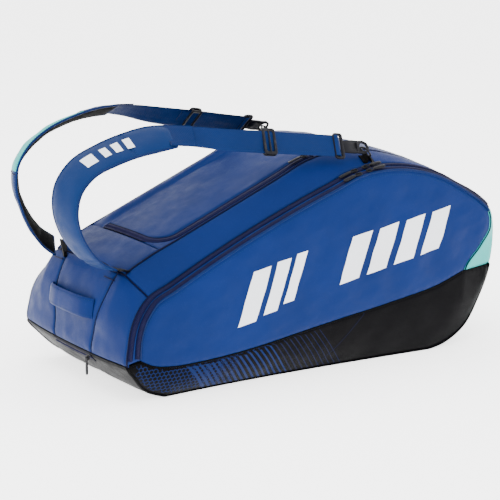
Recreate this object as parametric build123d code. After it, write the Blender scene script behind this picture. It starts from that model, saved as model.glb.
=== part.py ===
from build123d import *

import math
import os

# Racket tournament bag, millimetres.
# +X runs from the narrow handle end to the wide head end, +Z is up and -Y is the right-hand side.
# The origin is the centre of the flat base. Every panel is a strip of a band that runs once round the
# side outline of the bag. A point on the band is given by a station of the outline, a distance y from
# the middle plane and a height h above the outline, measured square to it.

# Driving dimensions
PANEL = 4.0            # thickness of a padded panel
GAP = 0.6              # free space between panels that move against each other
SIDE_Y = 179.0         # half width at the side panels
EDGE_Y = 157.0         # half width at the upper zip line
SEAM_Y = 118.0         # half width at the seam between gusset and top panel
SIDE_DROP = 8.0        # how far the side panels' edge lies inside the outline
CAP_BAND_Y = 70.0      # half width of the middle band of the narrow end cap
CLIMB_R = 2475.0       # very slight curve of the long climb of the top
CLIMB_A, CLIMB_B = (-240.0, 201.0), (90.0, 335.0)   # two points of the climb
CLIMB_START_X = -272.0
CLIMB_STEPS = 6
TOP_A, TOP_SLOPE = (-278.0, 226.0), 0.425   # the seam line above the climb, which is straight
PEAK_R = 305.0         # radius of the outline over the peak
PEAK_X, PEAK_Z = 137.0, 34.0
PEAK_END_DEG = 58.0    # where the peak's arc ends, measured from +X
PEAK_STEPS = 5
PEAK_CROWNS = ((90, 27), (190, 10), (215, 7), (300, 4))   # x and height of the gusset seam
LID_X = (-248.0, 40.0)
LID_OPEN_Y, LID_HINGE_Y = -95.0, 75.0
WEB_W, WEB_T = 38.0, 2.4   # shoulder strap webbing
PAD_T = 11.0
COVER_TRIM = 9.0       # how far the opening cover stops short of its fold line's ends
COIL_W, COIL_T = 6.5, 1.6  # zip coil
MAIN_COIL, SIDE_COIL = 0.24, 0.76   # middle of each coil as a share of the zip strip
SLIDER_L, SLIDER_W, SLIDER_T = 10.5, 7.0, 2.0
PULLER_L, PULLER_W, PULLER_T = 24.0, 6.0, 1.2
PULLER_Z = 1.0         # height of a puller's pin above its slider's plate
LIFT = 0.7             # clearance under a slider
FIRST_SLIDER_X, SECOND_SLIDER_DEG = 81.0, 96.8

CHORD = math.hypot(CLIMB_B[0] - CLIMB_A[0], CLIMB_B[1] - CLIMB_A[1])
CHORD_DEG = math.degrees(math.atan2(CLIMB_B[1] - CLIMB_A[1], CLIMB_B[0] - CLIMB_A[0]))
CLIMB_DEPTH = math.sqrt(CLIMB_R ** 2 - (CHORD / 2) ** 2)
CLIMB_X = (CLIMB_A[0] + CLIMB_B[0]) / 2 + CLIMB_DEPTH * math.sin(math.radians(CHORD_DEG))
CLIMB_Z = (CLIMB_A[1] + CLIMB_B[1]) / 2 - CLIMB_DEPTH * math.cos(math.radians(CHORD_DEG))
STRIP_L = math.hypot(SIDE_Y - EDGE_Y, SIDE_DROP)
STRIP_U = ((SIDE_Y - EDGE_Y) / STRIP_L, -SIDE_DROP / STRIP_L)
STRIP_N = (-STRIP_U[1], STRIP_U[0])


def read_knots(knots, x):
    """Straight-line reading of a table of x and value."""
    for (x0, v0), (x1, v1) in zip(knots, knots[1:]):
        if x <= x1:
            return v0 + (v1 - v0) * (x - x0) / (x1 - x0)
    return knots[-1][1]


class Station:
    """One place on the outline: position, outward mitre vector and the band's cross-section."""

    def __init__(self, x, z, crown_h, rise=5.0, edge_y=EDGE_Y, side_drop=SIDE_DROP):
        self.x, self.z = x, z
        self.crown_h, self.rise = crown_h, rise
        self.edge_y, self.side_drop = edge_y, side_drop
        self.mx, self.mz = 0.0, 0.0

    def at(self, y, h):
        return Vector(self.x + self.mx * h, y, self.z + self.mz * h)

    def height(self, y):
        """Outer surface of the top and cap panels at y, inside the gusset seam."""
        return self.crown_h + self.rise * (1 - abs(y) / SEAM_Y)


def between(a, b, share):
    """A station between two others."""
    mix = [p + (q - p) * share for p, q in (
        (a.x, b.x), (a.z, b.z), (a.crown_h, b.crown_h), (a.rise, b.rise),
        (a.edge_y, b.edge_y), (a.side_drop, b.side_drop), (a.mx, b.mx), (a.mz, b.mz))]
    s = Station(*mix[:6])
    s.mx, s.mz = mix[6:]
    return s


def climb_station(x):
    """A station on the climb. Its crown brings the gusset seam onto one straight line."""
    z = CLIMB_Z + math.sqrt(CLIMB_R ** 2 - (x - CLIMB_X) ** 2)
    mx, mz = (x - CLIMB_X) / CLIMB_R, (z - CLIMB_Z) / CLIMB_R
    seam_z = TOP_A[1] + TOP_SLOPE * (x - TOP_A[0])
    s = Station(x, z, (seam_z - z) / (mz - TOP_SLOPE * mx))
    s.mx, s.mz = mx, mz
    return s


def peak_station(deg):
    """A station on the round peak, its place given by its angle from +X."""
    a = math.radians(deg)
    x = PEAK_X + PEAK_R * math.cos(a)
    s = Station(x, PEAK_Z + PEAK_R * math.sin(a), read_knots(PEAK_CROWNS, x))
    s.mx, s.mz = math.cos(a), math.sin(a)
    return s


def make_outline():
    """The stations, clockwise seen from the right: up the cap, along the top, down the head end, base."""
    cap = [Station(-359, 66, 4, 2, 178, 23), Station(-356, 100, 6, 2, 177, 22),
           Station(-348, 128, 12, 3, 174, 20), Station(-334, 150, 20, 4, 169, 17),
           Station(-311, 170, 33, 5, 163, 12)]
    climb = [climb_station(CLIMB_START_X + (CLIMB_B[0] - CLIMB_START_X) * i / CLIMB_STEPS)
             for i in range(CLIMB_STEPS)]
    start = math.degrees(math.acos((CLIMB_B[0] - PEAK_X) / PEAK_R))
    peak = [peak_station(start + (PEAK_END_DEG - start) * i / PEAK_STEPS) for i in range(PEAK_STEPS + 1)]
    shoulder = [Station(324, 280, 4, 8, 158, 10), Station(349, 264, 5, 8, 160, 11)]
    head = [Station(369, 244, 8, 8, 163, 12), Station(380, 214, 12, 6, 160, 18),
            Station(382, 180, 15, 5, 159, 39), Station(377, 140, 17, 5, 159, 68)]
    bow = [Station(352, 78, 18, 5, 158), Station(325, 35, 14, 4, 156),
           Station(284, 8, 5, 2, 152), Station(250, 0, 0, 0, 150)]
    stern = [Station(-275, 0, 0, 0, 150), Station(-312, 15, 2, 1, 154), Station(-343, 45, 3, 2, 170)]
    parts = (cap, climb, peak, shoulder, head, bow, stern)
    stations = [s for part in parts for s in part]
    marks, count = [], 0
    for part in parts:
        marks.append(count)
        count += len(part)
    for before, s, after in zip(stations[-1:] + stations[:-1], stations, stations[1:] + stations[:1]):
        n1 = Vector(before.z - s.z, 0, s.x - before.x).normalized()
        n2 = Vector(s.z - after.z, 0, after.x - s.x).normalized()
        m = (n1 + n2) * (1 / (1 + n1.dot(n2)))
        s.mx, s.mz = m.X, m.Z
    head[-1].mx, head[-1].mz = 1.0, 0.0
    return stations, marks


ST, (CAP0, CLIMB0, PEAK0, SHOULDER0, HEAD0, BOW0, STERN0) = make_outline()
CAP_END = CLIMB0 - 1       # last station of the narrow end cap
BOW_TOP = BOW0 - 1         # seam between turquoise and black at the head end
LEAF0, LEAF1 = 1, HEAD0 - 1


def band(stations, profile):
    """A panel lofted through the cross-section polygon that profile gives at each station."""
    rings = [Wire.make_polygon([s.at(y, h) for y, h in profile(s)], close=True) for s in stations]
    return Solid.make_loft(rings, ruled=True)


def slab(points, y0, y1):
    """A flat plate with an x, z outline between two values of y."""
    face = Face(Wire.make_polygon([Vector(x, y0, z) for x, z in points], close=True))
    return Solid.extrude(face, Vector(0, y1 - y0, 0))


def top_strip(y0, y1):
    """Profile of a strip of the cap or top panels from y0 to y1."""
    def profile(s):
        ys = [y0] + ([0.0] if y0 < 0 < y1 else []) + [y1]
        outer = [(y, s.height(y)) for y in ys]
        return outer + [(y, h - PANEL) for y, h in reversed(outer)]
    return profile


def gusset_profile(s):
    return [(-s.edge_y, 0), (-SEAM_Y, s.crown_h), (-SEAM_Y, s.crown_h - PANEL), (-s.edge_y + 1.5, -4.2)]


def cap_side_profile(s):
    h = s.height(CAP_BAND_Y)
    return [(-s.edge_y, 0), (-SEAM_Y, s.crown_h), (-CAP_BAND_Y, h), (-CAP_BAND_Y, h - PANEL),
            (-SEAM_Y, s.crown_h - PANEL), (-s.edge_y + 1.5, -4.2)]


def strip_point(s, u, n):
    """Distance y and height h of a point u down the slanted zip strip and n out of it."""
    run, drop = SIDE_Y - s.edge_y, s.side_drop
    length = math.hypot(run, drop)
    uy, uh = run / length, -drop / length
    return -(s.edge_y + u * uy - n * uh), u * uh + n * uy


def coil_profile(share):
    """Profile of a coil whose middle lies at a share of the strip's width."""
    def profile(s):
        middle = share * math.hypot(SIDE_Y - s.edge_y, s.side_drop)
        u0, u1 = middle - COIL_W / 2, middle + COIL_W / 2
        return [strip_point(s, u0, 0.05), strip_point(s, u1, 0.05), strip_point(s, u1, COIL_T),
                strip_point(s, u0, COIL_T)]
    return profile


def strip_panel(s):
    """Profile of the padded zip strip itself, mitred to the gusset above and the side panel below."""
    length = math.hypot(SIDE_Y - s.edge_y, s.side_drop)
    top, low = strip_point(s, GAP, 0), strip_point(s, length - 0.15, 0)
    inner = -(SIDE_Y - PANEL - 0.4)
    return [top, low, (inner, low[1]), (inner + 0.4, low[1] - 1.1), (-(s.edge_y - 0.9), -4.7)]


def belt_profile(s):
    """Full width of the band from edge to edge, for the base and the lower head end."""
    right = [(-s.edge_y, 0), (-SEAM_Y, s.crown_h), (0, s.crown_h + s.rise)]
    outer = right + [(-y, h) for y, h in reversed(right[:2])]
    return outer + [(y, h - PANEL) for y, h in reversed(outer)]


def accent_profile(s):
    """Full width of the head end, wrapped round both rounded corners to the side panels."""
    right = [(-SIDE_Y, -s.side_drop), (-s.edge_y, 0), (-SEAM_Y, s.crown_h), (0, s.crown_h + s.rise)]
    outer = right + [(-y, h) for y, h in reversed(right[:3])]
    inner = [(-SIDE_Y + 5, -s.side_drop), (-s.edge_y + 3, -5), (-SEAM_Y, s.crown_h - PANEL),
             (0, s.crown_h + s.rise - PANEL)]
    inner = inner + [(-y, h) for y, h in reversed(inner[:3])]
    return outer + inner[::-1]


def side_edge(s, more=0.0):
    """Where a side panel meets the zip strip at a station."""
    p = s.at(0, -s.side_drop - more)
    return p.X, p.Z


SEAM = [side_edge(ST[0]), (-312, 61), (-275, 55), (-228, 55), (-134, 62), (-17, 79), (53, 89),
        (167, 105), (250, 120), side_edge(ST[BOW_TOP])]
HINGE0, HINGE1 = side_edge(ST[0]), side_edge(ST[HEAD0])
HINGE_SLOPE = (HINGE1[1] - HINGE0[1]) / (HINGE1[0] - HINGE0[0])


def hinge_z(x):
    """Height of the line that the side panels fold along, through both zip ends."""
    return HINGE0[1] + (x - HINGE0[0]) * HINGE_SLOPE


def side_panels():
    """The side panel, cut along its fold line into the cover that opens and the part that stays."""
    edge = [side_edge(s, GAP) for s in ST[:BOW_TOP]] + [SEAM[-1]]
    whole = slab(edge + SEAM[-2:0:-1], -SIDE_Y, -SIDE_Y + PANEL)
    reach = 60
    x0, x1 = HINGE0[0] - reach, HINGE1[0] + reach
    slit = slab([(x0, hinge_z(x0) - GAP / 2), (x1, hinge_z(x1) - GAP / 2),
                 (x1, hinge_z(x1) + GAP / 2), (x0, hinge_z(x0) + GAP / 2)], -SIDE_Y - 1, -SIDE_Y + PANEL + 1)
    pieces = sorted((whole - slit).solids(), key=lambda p: p.center().Z - hinge_z(p.center().X))
    trim_x0, trim_x1 = HINGE0[0] + COVER_TRIM, HINGE1[0] - COVER_TRIM
    middle = Pos((trim_x0 + trim_x1) / 2, -SIDE_Y, 200) * Box(trim_x1 - trim_x0, 20, 400)
    return (pieces[-1] & middle).solids()[0], pieces[0]


def black_side():
    """The lower side panel, from the seam in to the narrower base, drawn as slices across X."""
    bottom = [(ST[0], 0)] + [(s, 0) for s in ST[:STERN0 - 1:-1]] + [(s, 0) for s in ST[STERN0 - 1:BOW_TOP:-1]]
    bottom = [(s.x, s.edge_y, s.z) for s, _ in bottom]
    top = [(ST[0].x, ST[0].edge_y, ST[0].z)] + [(x, SIDE_Y, z) for x, z in SEAM]
    top.append((ST[BOW_TOP].x, ST[BOW_TOP].edge_y, ST[BOW_TOP].z))

    def read(line, x):
        for (xa, ya, za), (xb, yb, zb) in zip(line, line[1:]):
            if xa <= x <= xb:
                k = (x - xa) / (xb - xa)
                return ya + (yb - ya) * k, za + (zb - za) * k
        raise ValueError(x)

    xs = sorted({round(p[0], 3) for p in bottom[1:] + top[1:-1] if -354 < p[0] < 366} | {-356.0, 371.0})
    rings = []
    for x in xs:
        (ty, tz), (by, bz) = read(top, x), read(bottom + [top[-1]], x)
        ty, tz, by = ty - 0.1, tz - 0.5, by + 1.8
        thick = min(5.0, 0.45 * (tz - bz))
        rings.append(Wire.make_polygon([Vector(x, -ty, tz), Vector(x, -by, bz), Vector(x, -by, bz + thick),
                                        Vector(x, -ty + thick, tz)], close=True))
    return Solid.make_loft(rings, ruled=True)


def divider():
    """The inner wall that hangs from the zip strip and parts the side pocket from the middle."""
    stations = ST[CLIMB0 - 1:LEAF1]
    top_h, y0, y1 = -38.0, -140.0, -137.0
    above_fold = 16
    top = [(s.at(0, top_h).X, s.at(0, top_h).Z) for s in stations]
    x0, x1 = top[0][0], top[-1][0]
    plate = slab(top + [(x1, hinge_z(x1) + above_fold), (x0, hinge_z(x0) + above_fold)], y0, y1)
    web = band(stations, lambda s: [(-164, -12.5), (-160, -10), (y1, top_h - 6), (y0, top_h - 6)])
    return plate.fuse(web)


def pocket_tray():
    """The open box that hangs under the lid of the top pocket."""
    wall, floor_h, y0, y1 = 2.0, -8.0, -100.0, 78.0

    def block(inset, low, extra):
        def profile(s):
            tops = [s.height(y) - PANEL - 0.3 + extra for y in (y0, y1)]
            return [(y0 + inset, tops[0]), (y0 + inset, low), (y1 - inset, low), (y1 - inset, tops[1])]
        return band([climb_station(LID_X[0] + 2 + inset), climb_station(LID_X[1] - 2 - inset)], profile)

    return block(0, floor_h, 0) - block(wall, floor_h + wall, 20)


def place_on_strip(s, u, n, solid):
    """Puts a solid drawn at the origin, X along the zip and Z out of the strip, onto the zip strip."""
    y = -(s.edge_y + u * STRIP_U[0] + n * STRIP_N[0])
    h = u * STRIP_U[1] + n * STRIP_N[1]
    along = Vector(s.mz, 0, -s.mx).normalized()
    out = Vector(s.mx * STRIP_N[1], -STRIP_N[0], s.mz * STRIP_N[1]).normalized()
    return Plane(origin=s.at(y, h), x_dir=along, z_dir=out).location * solid


def slider_solid():
    """A zip slider: a plate over the coil and the arch that carries the puller."""
    low = (Align.CENTER, Align.CENTER, Align.MIN)
    arch = Box(6, 2, 2.8, align=low) - Box(3.6, 4, 2.0, align=low)
    return Box(SLIDER_L, SLIDER_W, SLIDER_T, align=low) + Pos(0, 0, SLIDER_T) * arch


def puller_solid(way):
    """A flat puller whose crossbar lies in the slider's arch; way is 1 or -1 along the zip."""
    window_l = 4.2
    sheet = Pos(way * (PULLER_L / 2 - 0.7), 0, 0) * Box(PULLER_L, PULLER_W, PULLER_T)
    window = Pos(way * (0.7 + window_l / 2), 0, 0) * Box(window_l, 3.6, PULLER_T * 2)
    return Pos(0, 0, SLIDER_T + PULLER_Z) * (sheet - window)


def zip_pair(share):
    """Both sliders of one side zip, closed against each other near the peak, and their pullers."""
    u, n = share * STRIP_L, COIL_T + LIFT
    first, second = climb_station(FIRST_SLIDER_X), peak_station(SECOND_SLIDER_DEG)
    return [place_on_strip(first, u, n, slider_solid()), place_on_strip(first, u, n, puller_solid(-1)),
            place_on_strip(second, u, n, slider_solid()), place_on_strip(second, u, n, puller_solid(1))]


POCKET_COIL_Y = (-110.0, -104.0)


def pocket_coil_profile(s):
    low = [(y, s.height(y)) for y in POCKET_COIL_Y]
    return low + [(y, h + COIL_T) for y, h in reversed(low)]


def place_on_top(s, y, lift, solid):
    along = Vector(s.mz, 0, -s.mx).normalized()
    out = Vector(s.mx, 0, s.mz).normalized()
    return Plane(origin=s.at(y, s.height(y) + lift), x_dir=along, z_dir=out).location * solid


def strap_frames(path, side):
    """Sections of a shoulder strap: centre, width vector and thickness vector at each point."""
    frames = []
    last = len(path) - 1
    for i, (x, y, z, roll, width) in enumerate(path):
        a, b = path[max(i - 1, 0)], path[min(i + 1, last)]
        t = Vector(b[0] - a[0], b[1] - a[1], b[2] - a[2]).normalized()
        out = t.cross(Vector(0, 1, 0)).normalized()
        over = out.cross(t).normalized()
        r = math.radians(roll) * side
        frames.append((Vector(x, y, z), over * math.cos(r) + out * math.sin(r),
                       out * math.cos(r) - over * math.sin(r), width))
    return frames


def strap_solid(frames, thickness):
    rings = []
    for centre, w, n, width in frames:
        corners = ((-1, -1), (1, -1), (1, 1), (-1, 1))
        rings.append(Wire.make_polygon(
            [centre + w * (i * width / 2) + n * (j * thickness / 2) for i, j in corners], close=True))
    return Solid.make_loft(rings, ruled=True)


# Shoulder strap centre lines: x, y, z, roll about the line and width, from the narrow end to the hook.
PAD_RIGHT = [(-349, -100, 209, 4, 58), (-376, -100, 224, 5, 60), (-398, -99, 248, 6, 62),
             (-412, -97, 275, 8, 62), (-418, -95, 308, 10, 64), (-412, -95, 340, 14, 64),
             (-390, -97, 368, 18, 64), (-346, -100, 389, 22, 64), (-308, -105, 401, 26, 62),
             (-272, -110, 408, 32, 58), (-238, -115, 411, 38, 46)]
WEB_RIGHT = [(-235.5, -115.4, 410.8, 40, WEB_W), (-200, -120.5, 407.6, 52, WEB_W),
             (-160, -126, 401.6, 60, WEB_W), (50, -144.5, 375.4, 60, WEB_W)]
PAD_LEFT = [(-348, 91, 210, 30, 58), (-368, 94, 226, 28, 60), (-388, 97, 254, 26, 62),
            (-402, 100, 286, 24, 62), (-411, 100, 318, 22, 64), (-409, 100, 346, 21, 64),
            (-393, 100, 373, 21, 64), (-358, 100, 399, 21, 64), (-316, 100, 415, 21, 62),
            (-270, 105, 424, 22, 58), (-226, 110, 426, 26, 46)]
WEB_LEFT = [(-223.5, 110.4, 425.8, 28, WEB_W), (-190, 114, 421, 38, WEB_W),
            (-150, 119, 412, 50, WEB_W), (50, 148, 376, 50, WEB_W)]
BASE_RIGHT, BASE_LEFT = Vector(-331, -100, 205), Vector(-330, 88, 204)
HOOK_FRAME_L, HOOK_EYE, HOOK_L, HOOK_T = 18.0, 56.0, 68.0, 3.6
RING_WIRE, RING_W, RING_L = 3.2, 23.0, 22.0
TRI_L, TRI_W, TRI_T = 24.0, 46.0, 8.0
TRI_SHARE = {-1: 0.43, 1: 0.45}   # where each tri-glide sits along the straight webbing


def strap_plane(point, along, width_dir):
    """A plane with X along the strap, Y across it and Z out of its face."""
    x = along.normalized()
    z = x.cross(width_dir).normalized()
    return Plane(origin=point, x_dir=x, z_dir=z)


def tri_glide(web, side):
    """The ladder buckle: a flat sleeve round both layers of webbing with a window in its face."""
    centre_a, w, _, _ = strap_frames(web, side)[-1]
    a, b = Vector(*web[-2][:3]), Vector(*web[-1][:3])
    point = a + (b - a) * TRI_SHARE[-side]
    body = Box(TRI_L, TRI_W, TRI_T) - Box(TRI_L + 2, WEB_W + 3, WEB_T + 1.4)
    window = Pos(0, 0, TRI_T / 2) * Box(TRI_L - 9, WEB_W - 4, TRI_T - 0.5)
    bar = Pos(0, 0, TRI_T / 2 - 1.2) * Box(3, WEB_W, 2.4)
    return strap_plane(point, b - a, w).location * (body - window + bar)


def web_end(web):
    """Where the straight webbing ends and which way it points."""
    a, b = Vector(*web[-2][:3]), Vector(*web[-1][:3])
    return b, (b - a).normalized()


def hook(web, side):
    """The metal strap hook: a slotted frame for the webbing and a plate that narrows to the ring's eye."""
    _, w, _, _ = strap_frames(web, side)[-1]
    end, along = web_end(web)
    frame = Box(HOOK_FRAME_L, TRI_W, HOOK_T + 2) - Box(9, WEB_W + 2, HOOK_T + 6)
    outline = Polyline((HOOK_FRAME_L, -15), (HOOK_FRAME_L, 15), (HOOK_EYE, 12), (HOOK_L, 6), (HOOK_L, -6),
                       (HOOK_EYE, -12), close=True)
    plate = Pos(0, 0, -HOOK_T / 2) * extrude(make_face(outline), HOOK_T)
    shape = Pos(HOOK_FRAME_L / 2, 0, 0) * frame + (plate - Pos(HOOK_EYE, 0, 0) * Cylinder(7.4, 20))
    return strap_plane(end + along * 1.0, along, w).location * shape


def hook_eye(web):
    end, along = web_end(web)
    return end + along * (1.0 + HOOK_EYE)


def ring_and_tab(web):
    """The wire ring that the hook's eye hangs on, and the tab that holds it on the gusset."""
    top = hook_eye(web)
    lean = Vector(0.6, 0, -0.8)
    plane = Plane(origin=top + lean * (RING_L - RING_WIRE) / 2, x_dir=(0, 1, 0), z_dir=lean.cross(Vector(0, 1, 0)))
    wire = Box(RING_W, RING_L, RING_WIRE) - Box(RING_W - 2 * RING_WIRE, RING_L - 2 * RING_WIRE, 2 * RING_WIRE)
    foot = top + lean * (RING_L - RING_WIRE)
    sign = 1 if top.Y > 0 else -1
    y0, y1 = abs(top.Y) - 6.5, abs(top.Y) + 1.0
    surface = [read_knots(PEAK_CROWNS, foot.X) * max(EDGE_Y - y, 0) / (EDGE_Y - SEAM_Y) + 0.9 for y in (y0, y1)]
    deck = PEAK_Z + math.sqrt(PEAK_R ** 2 - (foot.X - PEAK_X) ** 2)
    corners = [(y0, deck + surface[0]), (y1, deck + surface[1]), (y1, foot.Z + 4), (y0, foot.Z + 4)]
    face = Face(Wire.make_polygon([Vector(foot.X - 4, sign * y, z) for y, z in corners], close=True))
    tab = Solid.extrude(face, Vector(8, 0, 0))
    slot = Pos(*foot) * Box(5, 30, 5)
    return plane.location * wire, tab - slot


def mirrored(solid):
    return mirror(solid, about=Plane.XZ)


def build():
    nodes = {}
    right = {}
    cap, top = ST[:CAP_END + 1], ST[CAP_END:HEAD0 + 1]
    lid_in, lid_out = climb_station(LID_X[0]), climb_station(LID_X[1])
    lid_a, lid_b = climb_station(LID_X[0] + GAP), climb_station(LID_X[1] - GAP)
    leaf = ST[LEAF0:LEAF1 + 1]

    # base, ends and top
    nodes["base_panel"] = band(ST[STERN0 - 1:STERN0 + 1], belt_profile)
    nodes["base_board"] = Pos(-12, 0, PANEL + 1.5) * Box(500, 280, 3)
    nodes["narrow_underside"] = band(ST[STERN0:] + ST[:1], belt_profile)
    nodes["head_lower_panel"] = band(ST[BOW_TOP:STERN0], belt_profile)
    nodes["head_accent_panel"] = band(ST[HEAD0:BOW_TOP + 1], accent_profile)
    nodes["end_cap_centre"] = band(cap, top_strip(-CAP_BAND_Y, CAP_BAND_Y))
    middle = [s for s in ST[CLIMB0:PEAK0] if LID_X[0] < s.x < LID_X[1]]
    late = [s for s in ST[CLIMB0:PEAK0] if s.x > LID_X[1] + 1]
    nodes["top_narrow_panel"] = band(ST[CAP_END:CLIMB0 + 1] + [lid_in], top_strip(-SEAM_Y, SEAM_Y))
    nodes["top_head_panel"] = band([lid_out] + late + ST[PEAK0:HEAD0 + 1], top_strip(-SEAM_Y, SEAM_Y))
    nodes["top_border_right"] = band([lid_in] + middle + [lid_out], top_strip(-SEAM_Y, LID_OPEN_Y))
    nodes["top_border_left"] = band([lid_in] + middle + [lid_out], top_strip(LID_HINGE_Y, SEAM_Y))
    nodes["pocket_lid"] = band([lid_a, lid_b], top_strip(LID_OPEN_Y + GAP, LID_HINGE_Y - GAP))
    nodes["pocket_tray"] = pocket_tray()
    nodes["pocket_zip"] = band([climb_station(LID_X[0] + 3)] + middle + [lid_out], pocket_coil_profile)

    # right-hand pieces that have a mirror twin
    right["end_cap"] = band(cap, cap_side_profile)
    right["gusset"] = band(top, gusset_profile)
    right["black_side"] = black_side()
    cover, lower = side_panels()
    right["side_cover"], right["side_lower"] = cover, lower
    right["zip_strip"] = band(leaf, strip_panel)
    right["divider"] = divider()
    right["main_zip"] = band(leaf, coil_profile(MAIN_COIL))
    right["side_zip"] = band(leaf, coil_profile(SIDE_COIL))
    for name, solid in right.items():
        nodes[name + "_right"] = solid
        nodes[name + "_left"] = mirrored(solid)
    tabs = [band([ST[0], between(ST[0], ST[1], 0.98)], strip_panel),
            band([between(ST[LEAF1], ST[HEAD0], 0.02), ST[HEAD0]], strip_panel)]
    nodes["zip_end_tabs"] = Compound(tabs + [mirrored(t) for t in tabs])

    # zip sliders and pullers
    for name, share in (("main", MAIN_COIL), ("side", SIDE_COIL)):
        first, first_pull, second, second_pull = zip_pair(share)
        nodes[name + "_slider_narrow_right"], nodes[name + "_puller_narrow_right"] = first, first_pull
        nodes[name + "_slider_head_right"], nodes[name + "_puller_head_right"] = second, second_pull
        nodes[name + "_slider_left"], nodes[name + "_puller_left"] = mirrored(first), mirrored(first_pull)
    pocket_at = climb_station(LID_X[1] - 8)
    pocket_y = sum(POCKET_COIL_Y) / 2
    lift = COIL_T + LIFT + 0.3
    nodes["pocket_slider"] = place_on_top(pocket_at, pocket_y, lift, slider_solid())
    nodes["pocket_puller"] = place_on_top(pocket_at, pocket_y, lift, puller_solid(-1))

    # vent pocket zip under the narrow end, with its puller hanging free
    under = between(ST[-1], ST[0], 0.72)
    zip_h = under.crown_h + under.rise + 0.3
    coil = band([between(ST[-1], ST[0], 0.6), between(ST[-1], ST[0], 0.84)],
                lambda s: [(-60, zip_h), (60, zip_h), (60, zip_h + COIL_T), (-60, zip_h + COIL_T)])
    at = under.at(-62, zip_h)
    nodes["vent_zip"] = coil + Pos(at.X - 4, at.Y, at.Z - 2) * Box(6, 8, 8)
    nodes["vent_puller"] = Pos(at.X - 9.6, at.Y, at.Z - 11) * Box(2, 5, PULLER_L)

    # grab handle across the cap
    z0, z1, thick, out_x, in_x = 124.0, 157.0, 4.0, -378.0, -366.0
    ends, flat = 67.0, 46.0
    outline = [(in_x, -ends), (out_x, -flat), (out_x, flat), (in_x, ends), (in_x + thick, ends),
               (out_x + thick, flat - 2), (out_x + thick, -flat + 2), (in_x + thick, -ends)]
    face = Face(Wire.make_polygon([Vector(x, y, z0) for x, y in outline], close=True))
    nodes["grab_handle"] = Solid.extrude(face, Vector(0, 0, z1 - z0))

    # shoulder straps, anchors and hooks
    stubs, ring_tabs, rings = [], [], []
    for side, pad, web, base, name in ((1, PAD_RIGHT, WEB_RIGHT, BASE_RIGHT, "right"),
                                       (-1, PAD_LEFT, WEB_LEFT, BASE_LEFT, "left")):
        nodes["strap_pad_" + name] = strap_solid(strap_frames(pad, side), PAD_T)
        nodes["strap_webbing_" + name] = strap_solid(strap_frames(web, side), WEB_T)
        nodes["tri_glide_" + name] = tri_glide(web, side)
        nodes["strap_hook_" + name] = hook(web, side)
        first = Vector(*pad[0][:3])
        stub = [(*(base + (first - base) * k), pad[0][3], 50) for k in (0, 0.5)]
        stubs.append(strap_solid(strap_frames(stub, side), PAD_T - 3))
        wire, tab = ring_and_tab(web)
        rings.append(wire)
        ring_tabs.append(tab)
    nodes["strap_bases"] = Compound(stubs)
    nodes["ring_tabs"] = Compound([t.solids()[0] for t in ring_tabs])
    nodes["d_rings"] = Compound(rings)
    return nodes


def main():
    os.makedirs("parts", exist_ok=True)
    for name, shape in build().items():
        export_step(shape, f"parts/{name}.step")


main()
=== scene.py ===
import math

import bpy
import numpy as np
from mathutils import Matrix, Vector


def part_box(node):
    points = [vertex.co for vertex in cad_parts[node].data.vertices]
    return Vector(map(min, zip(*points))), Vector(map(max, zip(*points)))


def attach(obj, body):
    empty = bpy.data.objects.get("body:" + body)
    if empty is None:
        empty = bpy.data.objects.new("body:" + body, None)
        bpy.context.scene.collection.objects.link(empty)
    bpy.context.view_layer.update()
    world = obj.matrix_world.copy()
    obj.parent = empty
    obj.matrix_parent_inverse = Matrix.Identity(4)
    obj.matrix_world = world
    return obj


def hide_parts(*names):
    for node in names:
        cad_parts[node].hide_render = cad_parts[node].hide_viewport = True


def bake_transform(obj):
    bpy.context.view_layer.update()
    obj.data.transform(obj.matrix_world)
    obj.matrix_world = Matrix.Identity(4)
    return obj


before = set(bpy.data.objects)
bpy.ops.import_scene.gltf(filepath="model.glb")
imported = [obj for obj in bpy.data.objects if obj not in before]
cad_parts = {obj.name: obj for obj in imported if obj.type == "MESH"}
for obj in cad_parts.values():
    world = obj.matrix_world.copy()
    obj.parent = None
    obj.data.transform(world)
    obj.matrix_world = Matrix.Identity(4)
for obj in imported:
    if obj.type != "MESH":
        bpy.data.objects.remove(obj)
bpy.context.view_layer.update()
MM = 0.001
SHEEN, COAT = 0.03, 0.05
rng = np.random.default_rng(11)

# ---------------------------------------------------------------- materials


def srgb(r, g, b):
    return tuple(((c / 255) ** 2.2) for c in (r, g, b))


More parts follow.
